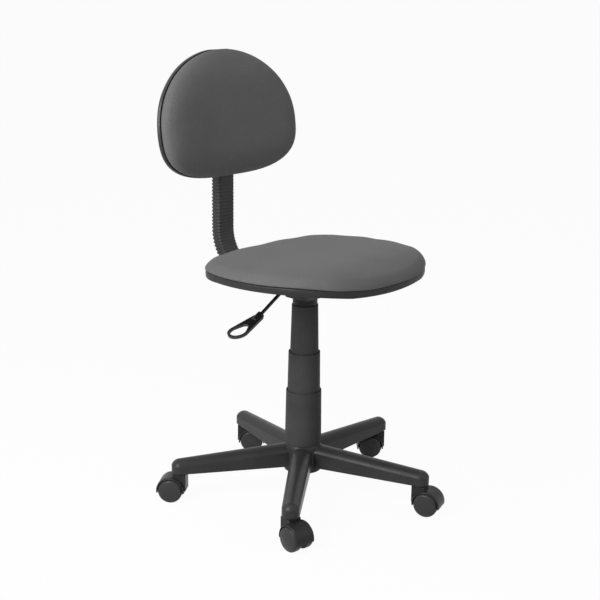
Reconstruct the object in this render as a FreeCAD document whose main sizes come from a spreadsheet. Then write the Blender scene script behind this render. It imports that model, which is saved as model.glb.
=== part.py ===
import FreeCAD, Part
import math
import os
import re
import Sketcher
from FreeCAD import Placement, Rotation, Vector

# Office task chair. Millimetres, Z up, floor at Z = 0, column on the Z axis, the sitter faces -Y.

doc = FreeCAD.newDocument("office_chair")
sheet = doc.addObject("Spreadsheet::Sheet", "Dims")

SIZES = (
    ("leg_count", 5, "legs of the base"),
    ("leg_turn", 1.2, "turn of the first leg from +X, degrees"),
    ("stem_reach", 257, "column axis to caster stem"),
    ("hub_top", 110, "top of the hub"),
    ("hub_bottom", 52, "underside of the hub"),
    ("hub_dia", 78, "hub diameter"),
    ("hub_bevel", 3, "bevel of the hub's top edge across"),
    ("hub_bevel_height", 6, "bevel of the hub's top edge down"),
    ("leg_root_width", 42, "leg width inside the hub"),
    ("leg_root_top", 108, "leg ridge height inside the hub"),
    ("leg_root_bottom", 63, "leg underside inside the hub"),
    ("leg_tip_width", 35, "leg width at the stem"),
    ("leg_tip_top", 90, "leg ridge height at the stem"),
    ("leg_tip_bottom", 62, "leg underside at the stem"),
    ("leg_crown", 12, "rise of the rounded leg ridge"),
    ("leg_wall", 4, "wall of the hollow leg"),
    ("leg_start", 30, "radius where a leg starts inside the hub"),
    ("hollow_start", 46, "radius where the leg hollow starts"),
    ("hollow_gap", 26, "solid length between leg hollow and stem axis"),
    ("fit_gap", 0.05, "radial clearance of a running fit"),
    ("seat_gap", 0.3, "clearance between pieces that only lie together"),
    ("cut_past", 5, "how far a cutting shape reaches past its piece"),
    ("tube_dia", 50, "column tube diameter"),
    ("tube_wall", 2, "column tube wall"),
    ("tube_top", 254, "top of the column tube"),
    ("tube_bottom", 48, "underside of the column tube"),
    ("tube_floor", 3, "bottom plate of the column tube"),
    ("taper_drop", 1, "radius lost over the column tube's seat in the hub"),
    ("cylinder_dia", 28, "gas cylinder diameter"),
    ("cylinder_bottom", 170, "lower end of the gas cylinder, seat at the top"),
    ("cylinder_top", 456, "upper end of the gas cylinder, seat at the top"),
    ("cylinder_wall", 2, "gas cylinder wall"),
    ("cylinder_cap", 10, "upper end wall of the gas cylinder"),
    ("gland", 6, "lower end wall of the gas cylinder"),
    ("cone_drop", 0.8, "radius lost over the cylinder's cone"),
    ("bush_length", 76, "guide bush length below its rim"),
    ("bush_rim", 3, "guide bush rim"),
    ("rod_dia", 10, "piston rod diameter"),
    ("rod_foot_dia", 8, "diameter of the rod's foot through the bearing"),
    ("foot_gap", 0.5, "radial gap around the rod's foot"),
    ("rod_bottom", 42, "lower end of the piston rod"),
    ("piston_length", 10, "piston length"),
    ("piston_rest", 2, "piston above the lower end wall"),
    ("washer_height", 2, "bearing washer height"),
    ("washer_dia", 26, "bearing washer diameter"),
    ("ball_dia", 4, "bearing ball diameter"),
    ("ball_ring", 18, "diameter of the ring of balls"),
    ("ball_count", 10, "bearing balls"),
    ("ball_gap", 0.1, "gap under and over a ball"),
    ("buffer_height", 9, "rubber buffer height"),
    ("buffer_dia", 24, "rubber buffer diameter"),
    ("clip_height", 1.5, "retaining clip height"),
    ("clip_dia", 18, "retaining clip diameter"),
    ("pin_dia", 7, "release pin diameter"),
    ("pin_stand", 4.5, "release pin above the cylinder"),
    ("pin_length", 16, "release pin length"),
    ("pin_bevel", 1, "bevel of the release pin"),
    ("cover_wall", 1.6, "wall of the column covers"),
    ("lower_cover_top", 224, "top of the lower cover"),
    ("lower_cover_wide", 75.4, "lower cover diameter at its foot"),
    ("lower_cover_slim", 72.6, "lower cover diameter at its top"),
    ("middle_cover_bottom", 204, "foot of the middle cover"),
    ("middle_cover_top", 306, "top of the middle cover"),
    ("middle_cover_wide", 67.7, "middle cover diameter at its foot"),
    ("middle_cover_slim", 64.7, "middle cover diameter at its top"),
    ("upper_cover_bottom", 288, "foot of the upper cover"),
    ("upper_cover_wide", 59, "upper cover diameter at its foot"),
    ("upper_cover_slim", 53.4, "upper cover diameter at its top"),
    ("socket_bottom", 406, "lower end of the seat plate's socket"),
    ("socket_dia", 50, "neck of the socket under the pan"),
    ("socket_inner_dia", 42, "socket diameter inside the pan"),
    ("socket_below", 1, "top of the socket below the cylinder's end"),
    ("pan_bottom", 420, "underside of the pressed pan"),
    ("pan_foot", 54, "pan width at its bottom"),
    ("pan_mouth", 132, "pan width at its mouth"),
    ("pan_wall", 2.5, "sheet of pan and flange"),
    ("pan_past", 8, "pan and ears above the board's underside before they are trimmed"),
    ("seat_base", 480.5, "underside of the seat board on the column axis"),
    ("seat_slope", 2.6, "seat rises to the front, degrees"),
    ("flange_width", 200, "seat plate flange width"),
    ("flange_front", 90, "flange in front of the column axis"),
    ("flange_rear", 118, "flange behind the column axis"),
    ("bolt_across", 160, "seat bolts, side to side"),
    ("bolt_along", 140, "seat bolts, front to rear"),
    ("bolt_dia", 6, "seat bolt diameter"),
    ("bolt_head", 10, "seat bolt head across flats"),
    ("bolt_head_height", 4, "seat bolt head height"),
    ("bolt_short", 2, "end of the seat bolt below the board's top"),
    ("nut_barrel", 8, "tee nut barrel diameter"),
    ("nut_barrel_length", 9, "tee nut barrel length"),
    ("nut_flange", 19, "tee nut flange diameter"),
    ("nut_flange_height", 1.5, "tee nut flange height"),
    ("seat_width", 424, "seat width"),
    ("seat_front", 227, "seat in front of the column axis"),
    ("seat_rear", 145, "seat behind the column axis"),
    ("fall_start", 126, "where the seat starts to fall, in front of the column axis"),
    ("fall_depth", 16, "fall of the seat at its front edge"),
    ("cushion_height", 39, "seat cushion height at its crown"),
    ("board_height", 12, "seat board thickness"),
    ("board_inset", 7, "seat board inside the cushion's side"),
    ("edging_inset", 3, "seat edging inside the cushion's side"),
    ("edging_lip", 1.2, "lip of the seat edging under the board"),
    ("edging_reach", 12, "end of the lip inside the cushion's side"),
    ("edging_round", 1.8, "rounded edges of the seat edging"),
    ("dust_cover", 1.2, "dust cover thickness"),
    ("dust_inset", 14, "dust cover inside the cushion's side"),
    ("dust_gap", 2, "dust cover around the seat plate"),
    ("lever_pivot_x", 38, "lever pin from the column axis"),
    ("lever_pivot_z", 463, "lever pin height"),
    ("lever_pin_dia", 4, "lever pin diameter"),
    ("lever_pin_length", 30, "lever pin length"),
    ("lever_eye_dia", 12, "eye of the lever around its pin"),
    ("lever_eye_width", 15, "width of the lever's eye"),
    ("lever_slot_length", 60, "slot in the pan for the lever, outwards"),
    ("lever_slot_start", 48, "outer end of the lever's slot from its pin"),
    ("lever_slot_height", 36, "height of the lever's slot"),
    ("lever_slot_below", 26, "lower edge of the lever's slot under its pin"),
    ("lever_slot_gap", 2, "gap beside the lever in its slot"),
    ("lever_drop", 30.5, "fall of the lever rod, degrees"),
    ("lever_rod_dia", 7, "lever rod diameter"),
    ("lever_rod_length", 121, "lever rod from pin to its end"),
    ("paddle_height", 3, "flat inner end of the lever"),
    ("paddle_width", 12, "width of the flat inner end"),
    ("paddle_past", 8, "flat inner end beyond the column axis"),
    ("ear_height", 3, "sheet of the lever's ears"),
    ("ear_width", 14, "width of the lever's ears"),
    ("handle_start", 104, "lever pin to the handle's collar"),
    ("handle_collar_dia", 15, "collar of the handle"),
    ("handle_collar_length", 20, "length of the handle's collar"),
    ("handle_drop", 18, "fall of the handle's loop, degrees"),
    ("handle_height", 5, "thickness of the handle's loop"),
    ("loop_length", 56, "collar end to the centre of the loop's round end"),
    ("loop_radius", 21.5, "round end of the loop"),
    ("loop_neck", 11, "narrow end radius of the loop"),
    ("finger_start", 40, "collar end to the narrow end of the finger gap"),
    ("finger_radius", 16.5, "round end of the finger gap"),
    ("finger_neck", 9, "narrow end radius of the finger gap"),
    ("bar_width", 30, "upright bar width"),
    ("bar_height", 6, "upright bar thickness"),
    ("bar_level", 439, "height of the bar under the seat"),
    ("bar_front", 62, "front end of the bar behind the column axis"),
    ("bar_bend", 88, "bend radius of the bar"),
    ("spine_y", 236, "upright part of the bar behind the column axis"),
    ("bar_kink_z", 640, "height where the bar starts to lean back"),
    ("bar_kink_bend", 120, "bend radius of the lean"),
    ("back_tilt", 8, "lean of the back, degrees"),
    ("bar_lean", 138, "length of the leaning end of the bar"),
    ("bar_gap", 0.3, "clearance around the bar"),
    ("holder_front", 66, "front of the bar's holder"),
    ("holder_rear", 116, "rear of the bar's holder"),
    ("holder_width", 44, "holder width"),
    ("holder_floor", 4.5, "wall of the holder above and below the bar"),
    ("holder_side", 3, "side sheet of the holder's upper part"),
    ("holder_bolt_dia", 8, "bar bolt diameter"),
    ("holder_bolt_head", 13, "bar bolt head across flats"),
    ("holder_bolt_head_height", 5.3, "bar bolt head height"),
    ("holder_bolt_front", 79, "front bar bolt behind the column axis"),
    ("holder_bolt_pitch", 25, "distance of the bar bolts"),
    ("holder_nut_height", 6.5, "bar nut height"),
    ("holder_bolt_past", 2, "bar bolt beyond its nut"),
    ("sleeve_width", 43, "sleeve width over its ribs"),
    ("sleeve_depth", 24, "sleeve depth over its ribs"),
    ("sleeve_corner", 5, "corner radius of the sleeve"),
    ("sleeve_wall", 1, "sleeve wall"),
    ("rib_depth", 1.8, "depth of the sleeve's ribs"),
    ("rib_pitch", 7, "pitch of the sleeve's ribs"),
    ("back_level", 741, "widest line of the back above the floor"),
    ("back_width", 377, "back width"),
    ("back_up", 156.5, "back above its widest line"),
    ("back_down", 102.5, "back below its widest line"),
    ("back_foot_power", 2.95, "squareness of the back's lower corners"),
    ("back_wrap", 10, "how far the back's sides come forward"),
    ("back_depth", 41, "back thickness with its shell"),
    ("shell_depth", 9, "shell rim depth"),
    ("shell_wall", 3, "shell wall"),
    ("shell_inset", 12, "shell hollow inside its edge"),
    ("shell_bulge", 2.5, "rounding of the shell's edge"),
    ("board_bulge", 2, "rounding of the back board's edge"),
    ("pad_inset", 1.5, "back cushion inside the shell's edge"),
    ("pad_bulge", 13, "rounding of the back cushion's edge"),
    ("pad_crown", 16, "how much the back cushion thins towards its edge"),
    ("back_board_height", 8, "back board thickness"),
    ("back_board_inset", 9, "back board inside the cushion's edge"),
    ("back_board_room", 0.8, "room for foam between the back board's edge and the cushion"),
    ("bracket_width", 48, "back bracket width"),
    ("bracket_depth", 22, "back bracket depth"),
    ("bracket_length", 70, "back bracket length"),
    ("bracket_foot", 35, "bracket above the bar's kink"),
    ("bracket_flange", 72, "bracket flange width"),
    ("bracket_flange_height", 4, "bracket flange thickness"),
    ("screw_across", 58, "bracket screws, side to side"),
    ("screw_along", 48, "bracket screws, up and down"),
    ("screw_dia", 4, "bracket screw diameter"),
    ("screw_head_dia", 9, "bracket screw head diameter"),
    ("screw_head_height", 2.6, "bracket screw head height"),
    ("screw_length", 19, "bracket screw length"),
    ("boss_dia", 12, "screw bosses of the shell"),
    ("knob_dia", 40, "knob diameter"),
    ("knob_height", 17, "knob height"),
    ("knob_stand", 2, "knob behind the bracket"),
    ("knob_scallops", 8, "finger hollows of the knob"),
    ("knob_scallop_dia", 12, "finger hollow diameter"),
    ("knob_scallop_bite", 2.5, "finger hollow depth"),
    ("stud_dia", 8, "knob stud diameter"),
    ("stud_in_knob", 2, "knob stud inside the knob"),
    ("wheel_dia", 50, "caster wheel diameter"),
    ("wheel_width", 18, "caster wheel width"),
    ("wheel_dome", 2, "dome of the wheel's outer face"),
    ("wheel_edge", 7, "rounded edge of the wheel"),
    ("wheel_bevel", 3, "rounding of the wheel's inner edge"),
    ("wheel_cap", 5, "closed outer face of the wheel"),
    ("web_width", 10, "web of the hood between its wheels"),
    ("web_gap", 1, "gap between web and wheel"),
    ("axle_dia", 8, "caster axle diameter"),
    ("caster_trail", 18, "stem axis to wheel axle"),
    ("hood_dia", 58, "hood outer diameter"),
    ("hood_inner_dia", 52.4, "hood inner diameter"),
    ("hood_width", 43, "hood width"),
    ("hood_edge", 4, "rounding of the hood's sides"),
    ("hood_cut", 21, "lower edge of the hood above the floor"),
    ("hood_top", 60, "top of the hood's stem block"),
    ("hood_block", 27, "width of the hood's stem block"),
    ("web_foot_dia", 28, "web around the axle"),
    ("stem_dia", 11, "caster stem diameter"),
    ("stem_bottom", 38, "lower end of the stem"),
    ("stem_top", 83, "upper end of the stem"),
    ("stem_collar_dia", 17, "collar of the stem"),
    ("stem_bevel", 1, "bevel of the stem's upper end"),
    ("ring_level", 72, "grip ring height above the floor"),
    ("ring_height", 4, "grip ring height"),
    ("ring_groove", 1, "depth of the grip ring's groove"),
    ("caster_yaw_1", 135, "rest direction of caster 1, degrees"),
    ("caster_yaw_2", -50, "rest direction of caster 2, degrees"),
    ("caster_yaw_3", 125, "rest direction of caster 3, degrees"),
    ("caster_yaw_4", -98, "rest direction of caster 4, degrees"),
    ("caster_yaw_5", -72.5, "rest direction of caster 5, degrees"),
)

for row, (alias, number, meaning) in enumerate(SIZES, start=1):
    sheet.set(f"A{row}", meaning)
    sheet.set(f"B{row}", str(number))
    sheet.setAlias(f"B{row}", alias)
doc.recompute()

ALIASES = {alias for alias, number, meaning in SIZES}
X_AXIS = Vector(1, 0, 0)
Y_AXIS = Vector(0, 1, 0)
Z_AXIS = Vector(0, 0, 1)
ORIGIN = Vector(0, 0, 0)
ALONG = {
    "X": Rotation(Y_AXIS, 90),
    "Y": Rotation(X_AXIS, -90),
    "-Y": Rotation(X_AXIS, 90),
    "Z": Rotation(),
}
nodes = []


def formula(text):
    """A sheet formula with every size name pointed at the sheet."""
    return re.sub(r"[a-z]\w*", lambda m: "Dims." + m[0] if m[0] in ALIASES else m[0], text)


def value(text):
    """The number that a formula of size names gives."""
    return float(sheet.evalExpression(formula(text)))


def bind(item, **texts):
    for prop, text in texts.items():
        item.setExpression(prop, formula(text))


def keep(item, label):
    item.Label = label
    nodes.append(item)
    return item


def put(item, at, along="Z"):
    """Set a piece's turn, and bind its place to three formulas."""
    item.Placement = Placement(ORIGIN, ALONG[along])
    for axis, text in zip("xyz", at):
        item.setExpression("Placement.Base." + axis, formula(text))
    return item


def box(name, size, at):
    item = doc.addObject("Part::Box", name)
    bind(item, Length=size[0], Width=size[1], Height=size[2])
    return put(item, at)


def cylinder(name, radius, height, at=("0", "0", "0"), along="Z"):
    item = doc.addObject("Part::Cylinder", name)
    bind(item, Radius=radius, Height=height)
    return put(item, at, along)


def hexagon(name, across_flats, height, at, along="Z"):
    item = doc.addObject("Part::Prism", name)
    item.Polygon = 6
    bind(item, Circumradius=f"({across_flats}) / (2 * cos(30))", Height=height)
    return put(item, at, along)


def fuse(name, *pieces):
    item = doc.addObject("Part::MultiFuse", name)
    item.Shapes = list(pieces)
    return item


def cut(name, base, *tools):
    item = doc.addObject("Part::Cut", name)
    item.Base = base
    item.Tool = tools[0] if len(tools) == 1 else fuse(name + "_tools", *tools)
    return item


def group(name, pieces):
    item = doc.addObject("Part::Compound", name)
    item.Links = list(pieces)
    return item


def solid(name, shape):
    item = doc.addObject("Part::Feature", name)
    item.Shape = shape
    return item


def round_edge(start, end, radius):
    """Arc of under half a circle that bulges to the right of start to end."""
    chord = end - start
    left = Vector(-chord.y, chord.x, 0).normalize()
    reach = math.sqrt(radius ** 2 - (chord.Length / 2) ** 2)
    centre = (start + end) * 0.5 + left * reach
    first = math.atan2(start.y - centre.y, start.x - centre.x)
    last = math.atan2(end.y - centre.y, end.x - centre.x)
    if last < first:
        last += 2 * math.pi
    return Part.ArcOfCircle(Part.Circle(centre, Z_AXIS, radius), first, last)


def outline(body, name, plane, corners, rounds=None, shift=("0", "0", "0")):
    """Closed sketch through corners given anticlockwise; rounds maps an edge's number to its radius."""
    rounds = rounds or {}
    sketch = body.newObject("Sketcher::SketchObject", name)
    support = [f for f in body.Origin.OriginFeatures if f.Role == plane][0]
    sketch.AttachmentSupport = [(support, "")]
    sketch.MapMode = "FlatFace"
    for axis, text in zip("xyz", shift):
        sketch.setExpression("AttachmentOffset.Base." + axis, formula(text))
    points = [Vector(value(across), value(up), 0) for across, up in corners]
    for edge, start in enumerate(points):
        end = points[(edge + 1) % len(points)]
        if edge in rounds:
            sketch.addGeometry(round_edge(start, end, value(rounds[edge])), False)
        else:
            sketch.addGeometry(Part.LineSegment(start, end), False)
    for edge in range(len(points)):
        sketch.addConstraint(Sketcher.Constraint("Coincident", edge, 2, (edge + 1) % len(points), 1))
    for edge, (across, up) in enumerate(corners):
        for kind, text, number in (("DistanceX", across, points[edge].x), ("DistanceY", up, points[edge].y)):
            place = sketch.addConstraint(Sketcher.Constraint(kind, -1, 1, edge, 1, number))
            sketch.setExpression(f"Constraints[{place}]", formula(text))
    for edge, text in rounds.items():
        place = sketch.addConstraint(Sketcher.Constraint("Radius", edge, value(text)))
        sketch.setExpression(f"Constraints[{place}]", formula(text))
    return sketch


def turn(body, name, corners, rounds=None, shift=("0", "0", "0")):
    """Revolve an outline of (radius, height) corners about its upright axis."""
    sketch = outline(body, name + "_outline", "XZ_Plane", corners, rounds, shift)
    feature = body.newObject("PartDesign::Revolution", name)
    feature.Profile = sketch
    feature.ReferenceAxis = (sketch, ["V_Axis"])
    feature.Angle = 360
    sketch.Visibility = False
    return feature


def turned(name, corners, rounds=None):
    body = doc.addObject("PartDesign::Body", name)
    turn(body, name + "_turn", corners, rounds)
    return body


def arc(first, middle, last):
    return Part.Arc(Vector(*first), Vector(*middle), Vector(*last)).toShape()


def line(first, last):
    return Part.makeLine(Vector(*first), Vector(*last))


# Base: a hub with five hollow legs, each ending in a domed boss with a blind hole for a caster stem.

star = doc.addObject("PartDesign::Body", "star_base")
turn(star, "hub", (
    ("tube_dia / 2 - taper_drop + fit_gap", "hub_bottom"),
    ("hub_dia / 2", "hub_bottom"),
    ("hub_dia / 2", "hub_top - hub_bevel_height"),
    ("hub_dia / 2 - hub_bevel", "hub_top"),
    ("tube_dia / 2 + fit_gap", "hub_top"),
))


def leg_section(name, at, width, top, bottom, crown_radius):
    return outline(star, name, "YZ_Plane", (
        (f"-({width}) / 2", bottom),
        (f"({width}) / 2", bottom),
        (f"({width}) / 2", f"{top} - leg_crown"),
        (f"-({width}) / 2", f"{top} - leg_crown"),
    ), {2: crown_radius}, ("0", "0", at))


def crown_radius(width):
    return f"(({width}) ^ 2 / 4 + leg_crown ^ 2) / (2 * leg_crown)"


leg_root = leg_section("leg_root", "leg_start", "leg_root_width", "leg_root_top", "leg_root_bottom",
                       crown_radius("leg_root_width"))
leg_tip = leg_section("leg_tip", "stem_reach", "leg_tip_width", "leg_tip_top", "leg_tip_bottom",
                      crown_radius("leg_tip_width"))
leg = star.newObject("PartDesign::AdditiveLoft", "leg")
leg.Profile = leg_root
leg.Sections = [leg_tip]
leg.Ruled = True

boss = turn(star, "leg_end", (
    ("0", "leg_tip_bottom"),
    ("leg_tip_width / 2", "leg_tip_bottom"),
    ("leg_tip_width / 2", "leg_tip_top - leg_crown"),
    ("0", "leg_tip_top"),
), {2: crown_radius("leg_tip_width")}, ("stem_reach", "0", "0"))


def hollow_section(name, at, width, top):
    half = f"({width} / 2 - leg_wall)"
    return outline(star, name, "YZ_Plane", (
        (f"-{half}", "hub_bottom - cut_past"),
        (half, "hub_bottom - cut_past"),
        (half, f"{top} - leg_crown - leg_wall"),
        (f"-{half}", f"{top} - leg_crown - leg_wall"),
    ), None, ("0", "0", at))


hollow = star.newObject("PartDesign::SubtractiveLoft", "leg_hollow")
hollow.Profile = hollow_section("hollow_root", "hollow_start", "leg_root_width", "leg_root_top")
hollow.Sections = [hollow_section("hollow_tip", "stem_reach - hollow_gap", "leg_tip_width", "leg_tip_top")]
hollow.Ruled = True

stem_hole_outline = outline(star, "stem_hole_outline", "XZ_Plane", (
    ("0", "leg_tip_bottom - cut_past"),
    ("stem_dia / 2 + fit_gap", "leg_tip_bottom - cut_past"),
    ("stem_dia / 2 + fit_gap", "stem_top + seat_gap"),
    ("0", "stem_top + seat_gap"),
), None, ("stem_reach", "0", "0"))
stem_hole = star.newObject("PartDesign::Groove", "stem_hole")
stem_hole.Profile = stem_hole_outline
stem_hole.ReferenceAxis = (stem_hole_outline, ["V_Axis"])
stem_hole.Angle = 360

legs = star.newObject("PartDesign::PolarPattern", "legs")
legs.Originals = [leg, boss, hollow, stem_hole]
legs.Axis = ([f for f in star.Origin.OriginFeatures if f.Role == "Z_Axis"][0], [""])
legs.Angle = 360
bind(legs, Occurrences="leg_count")
star.Tip = legs
star.Placement = Placement(ORIGIN, Rotation(Z_AXIS, value("leg_turn")))
keep(star, "star_base")

# Gas column: a tube seated in the hub, a plastic guide bush, and the sprung cylinder that slides in it.

keep(turned("column_tube", (
    ("rod_foot_dia / 2 + foot_gap", "tube_bottom"),
    ("tube_dia / 2 - taper_drop", "tube_bottom"),
    ("tube_dia / 2 - taper_drop", "hub_bottom"),
    ("tube_dia / 2", "hub_top"),
    ("tube_dia / 2", "tube_top"),
    ("tube_dia / 2 - tube_wall", "tube_top"),
    ("tube_dia / 2 - tube_wall", "hub_top"),
    ("tube_dia / 2 - taper_drop - tube_wall", "hub_bottom"),
    ("tube_dia / 2 - taper_drop - tube_wall", "tube_bottom + tube_floor"),
    ("rod_foot_dia / 2 + foot_gap", "tube_bottom + tube_floor"),
)), "column_tube")

keep(turned("guide_bush", (
    ("cylinder_dia / 2 + fit_gap", "tube_top - bush_length"),
    ("tube_dia / 2 - tube_wall - fit_gap", "tube_top - bush_length"),
    ("tube_dia / 2 - tube_wall - fit_gap", "tube_top"),
    ("tube_dia / 2", "tube_top"),
    ("tube_dia / 2", "tube_top + bush_rim"),
    ("cylinder_dia / 2 + fit_gap", "tube_top + bush_rim"),
)), "guide_bush")

keep(turned("gas_cylinder", (
    ("rod_dia / 2 + fit_gap", "cylinder_bottom"),
    ("cylinder_dia / 2", "cylinder_bottom"),
    ("cylinder_dia / 2", "socket_bottom"),
    ("cylinder_dia / 2 - cone_drop", "cylinder_top"),
    ("pin_dia / 2 + fit_gap", "cylinder_top"),
    ("pin_dia / 2 + fit_gap", "cylinder_top - cylinder_cap"),
    ("cylinder_dia / 2 - cone_drop - cylinder_wall", "cylinder_top - cylinder_cap"),
    ("cylinder_dia / 2 - cylinder_wall", "socket_bottom"),
    ("cylinder_dia / 2 - cylinder_wall", "cylinder_bottom + gland"),
    ("rod_dia / 2 + fit_gap", "cylinder_bottom + gland"),
)), "gas_cylinder")

keep(turned("release_pin", (
    ("0", "cylinder_top + pin_stand - pin_length"),
    ("pin_dia / 2", "cylinder_top + pin_stand - pin_length"),
    ("pin_dia / 2", "cylinder_top + pin_stand - pin_bevel"),
    ("pin_dia / 2 - pin_bevel", "cylinder_top + pin_stand"),
    ("0", "cylinder_top + pin_stand"),
)), "release_pin")

# Piston rod: its foot hangs in the column tube's floor on a ball bearing and is kept by a clip.

bearing_top = "tube_bottom + tube_floor + 2 * washer_height + ball_dia + 2 * ball_gap"
piston_bottom = "cylinder_bottom + gland + piston_rest"

keep(turned("piston_rod", (
    ("0", "rod_bottom"),
    ("rod_foot_dia / 2", "rod_bottom"),
    ("rod_foot_dia / 2", bearing_top),
    ("rod_dia / 2", bearing_top),
    ("rod_dia / 2", piston_bottom),
    ("cylinder_dia / 2 - cylinder_wall - fit_gap", piston_bottom),
    ("cylinder_dia / 2 - cylinder_wall - fit_gap", f"{piston_bottom} + piston_length"),
    ("0", f"{piston_bottom} + piston_length"),
)), "piston_rod")


def ring(name, bore_radius, radius, bottom, height):
    return keep(turned(name, (
        (bore_radius, bottom),
        (radius, bottom),
        (radius, f"{bottom} + {height}"),
        (bore_radius, f"{bottom} + {height}"),
    )), name)


ring("bearing_washer_lower", "rod_foot_dia / 2 + foot_gap", "washer_dia / 2",
     "tube_bottom + tube_floor + fit_gap", "washer_height")
ring("bearing_washer_upper", "rod_foot_dia / 2 + fit_gap", "washer_dia / 2",
     f"{bearing_top} - fit_gap - washer_height", "washer_height")
ring("rubber_buffer", "rod_dia / 2 + fit_gap", "buffer_dia / 2", f"{bearing_top} + seat_gap", "buffer_height")
ring("retaining_clip", "rod_foot_dia / 2 + fit_gap", "clip_dia / 2",
     "tube_bottom - seat_gap - clip_height", "clip_height")

balls = []
for number in range(int(value("ball_count"))):
    ball = doc.addObject("Part::Sphere", f"ball_{number + 1}")
    bind(ball, Radius="ball_dia / 2")
    around = f"360 / ball_count * {number}"
    balls.append(put(ball, (f"ball_ring / 2 * cos({around})", f"ball_ring / 2 * sin({around})",
                            "tube_bottom + tube_floor + washer_height + ball_dia / 2 + ball_gap")))
keep(group("bearing_balls", balls), "bearing_balls")

# Telescopic covers: three thin tapered tubes that hide the column and slide into one another.


def cover(name, bottom, top, wide, slim):
    return keep(turned(name, (
        (f"{wide} / 2 - cover_wall", bottom),
        (f"{wide} / 2", bottom),
        (f"{slim} / 2", top),
        (f"{slim} / 2 - cover_wall", top),
    )), name)


cover("cover_lower", "hub_top + seat_gap", "lower_cover_top", "lower_cover_wide", "lower_cover_slim")
cover("cover_middle", "middle_cover_bottom", "middle_cover_top", "middle_cover_wide", "middle_cover_slim")
keep(turned("cover_upper", (
    ("upper_cover_wide / 2 - cover_wall", "upper_cover_bottom"),
    ("upper_cover_wide / 2", "upper_cover_bottom"),
    ("upper_cover_slim / 2", "socket_bottom - seat_gap"),
    ("cylinder_dia / 2 + seat_gap", "socket_bottom - seat_gap"),
    ("cylinder_dia / 2 + seat_gap", "socket_bottom - seat_gap - cover_wall"),
    ("upper_cover_slim / 2 - cover_wall", "socket_bottom - seat_gap - cover_wall"),
)), "cover_upper")

# Seat plate: a pressed pan with a flange that lies under the seat board, a conical socket for the gas
# cylinder, and two ears that carry the lever's pin.

seat_place = Placement(Vector(0, 0, value("seat_base")), Rotation(X_AXIS, -value("seat_slope")))


def seat_box(name, size, at):
    """A box whose corner is given on the sloping underside of the seat board."""
    item = box(name, size, at)
    for axis in "xyz":
        item.setExpression("Placement.Base." + axis, None)
    item.Placement = seat_place.multiply(Placement(Vector(*[value(text) for text in at]), Rotation()))
    return item


def wedge(name, foot, mouth, bottom, height):
    item = doc.addObject("Part::Wedge", name)
    item.Ymin = 0
    bind(item, Ymax=height)
    for near, far in (("X", "X2"), ("Z", "Z2")):
        bind(item, **{near + "min": f"-({foot}) / 2", near + "max": f"({foot}) / 2"})
        bind(item, **{far + "min": f"-({mouth}) / 2", far + "max": f"({mouth}) / 2"})
    item.Placement = Placement(ORIGIN, Rotation(X_AXIS, 90))
    item.setExpression("Placement.Base.z", formula(bottom))
    return item


TRIM_SIZE = ("2 * flange_width", "2 * flange_width", "flange_width")
TRIM_CORNER = ("-flange_width", "-flange_width")
pan_height = "(seat_base + pan_past - pan_bottom)"
flange = seat_box("flange", ("flange_width", "flange_front + flange_rear", "pan_wall"),
                  ("-flange_width / 2", "-flange_front", "-pan_wall"))
pan = wedge("pan", "pan_foot", "pan_mouth", "pan_bottom", pan_height)
pan_inside = wedge("pan_inside", "pan_foot - 2 * pan_wall", "pan_mouth - 2 * pan_wall",
                   "pan_bottom + pan_wall", pan_height)
above_board = seat_box("above_board", TRIM_SIZE, (*TRIM_CORNER, "0"))
lever_slot = box("lever_slot",
                 ("lever_slot_length", "lever_eye_width + 2 * lever_slot_gap", "lever_slot_height"),
                 ("-lever_pivot_x - lever_slot_start", "-lever_eye_width / 2 - lever_slot_gap",
                  "lever_pivot_z - lever_slot_below"))
pressing = cut("pressing", fuse("pressed_sheet", flange, pan), pan_inside, above_board, lever_slot)
neck = cylinder("neck", "socket_dia / 2", "pan_bottom - socket_bottom + pan_wall",
                ("0", "0", "socket_bottom"))
socket = cylinder("socket", "socket_inner_dia / 2", "cylinder_top - socket_below - pan_bottom",
                  ("0", "0", "pan_bottom"))
ears = []
for name, at in (("ear_front", "-lever_eye_width / 2 - seat_gap - ear_height"),
                 ("ear_rear", "lever_eye_width / 2 + seat_gap")):
    ears.append(box(name, ("ear_width", "ear_height", "seat_base + pan_past - lever_pivot_z + ear_width / 2"),
                    ("-lever_pivot_x - ear_width / 2", at, "lever_pivot_z - ear_width / 2")))
cone = turned("socket_cone", (
    ("0", "socket_bottom - cut_past"),
    ("cylinder_dia / 2 + fit_gap", "socket_bottom - cut_past"),
    ("cylinder_dia / 2 + fit_gap", "socket_bottom"),
    ("cylinder_dia / 2 - cone_drop + fit_gap", "cylinder_top"),
    ("0", "cylinder_top"),
))
pin_hole = cylinder("lever_pin_hole", "lever_pin_dia / 2 + fit_gap", "lever_pin_length + 2 * cut_past",
                    ("-lever_pivot_x", "-lever_pin_length / 2 - cut_past", "lever_pivot_z"), "Y")


def seat_cylinder(name, radius, height, across, along, bottom):
    """An upright cylinder on the sloping seat, placed from the board's underside."""
    item = doc.addObject("Part::Cylinder", name)
    bind(item, Radius=radius, Height=height)
    item.Placement = seat_place.multiply(Placement(Vector(across, along, value(bottom)), Rotation()))
    return item


bolt_places = [(side * value("bolt_across / 2"), end * value("bolt_along / 2"))
               for side in (-1, 1) for end in (-1, 1)]
flange_holes = []
for number, (across, along) in enumerate(bolt_places, start=1):
    flange_holes.append(seat_cylinder(f"flange_hole_{number}", "bolt_dia / 2 + seat_gap",
                                      "pan_wall + 2 * cut_past", across, along, "-pan_wall - cut_past"))
above_ears = seat_box("above_ears", TRIM_SIZE, (*TRIM_CORNER, "0"))
keep(cut("seat_plate", fuse("plate_whole", pressing, neck, socket, *ears), cone, pin_hole, above_ears,
         *flange_holes), "seat_plate")

# Seat: a plywood board inside an upholstered cushion, a dust cover under it, four bolts into tee nuts.
# The board is bent so that the front edge falls away under the sitter's knees.

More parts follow.
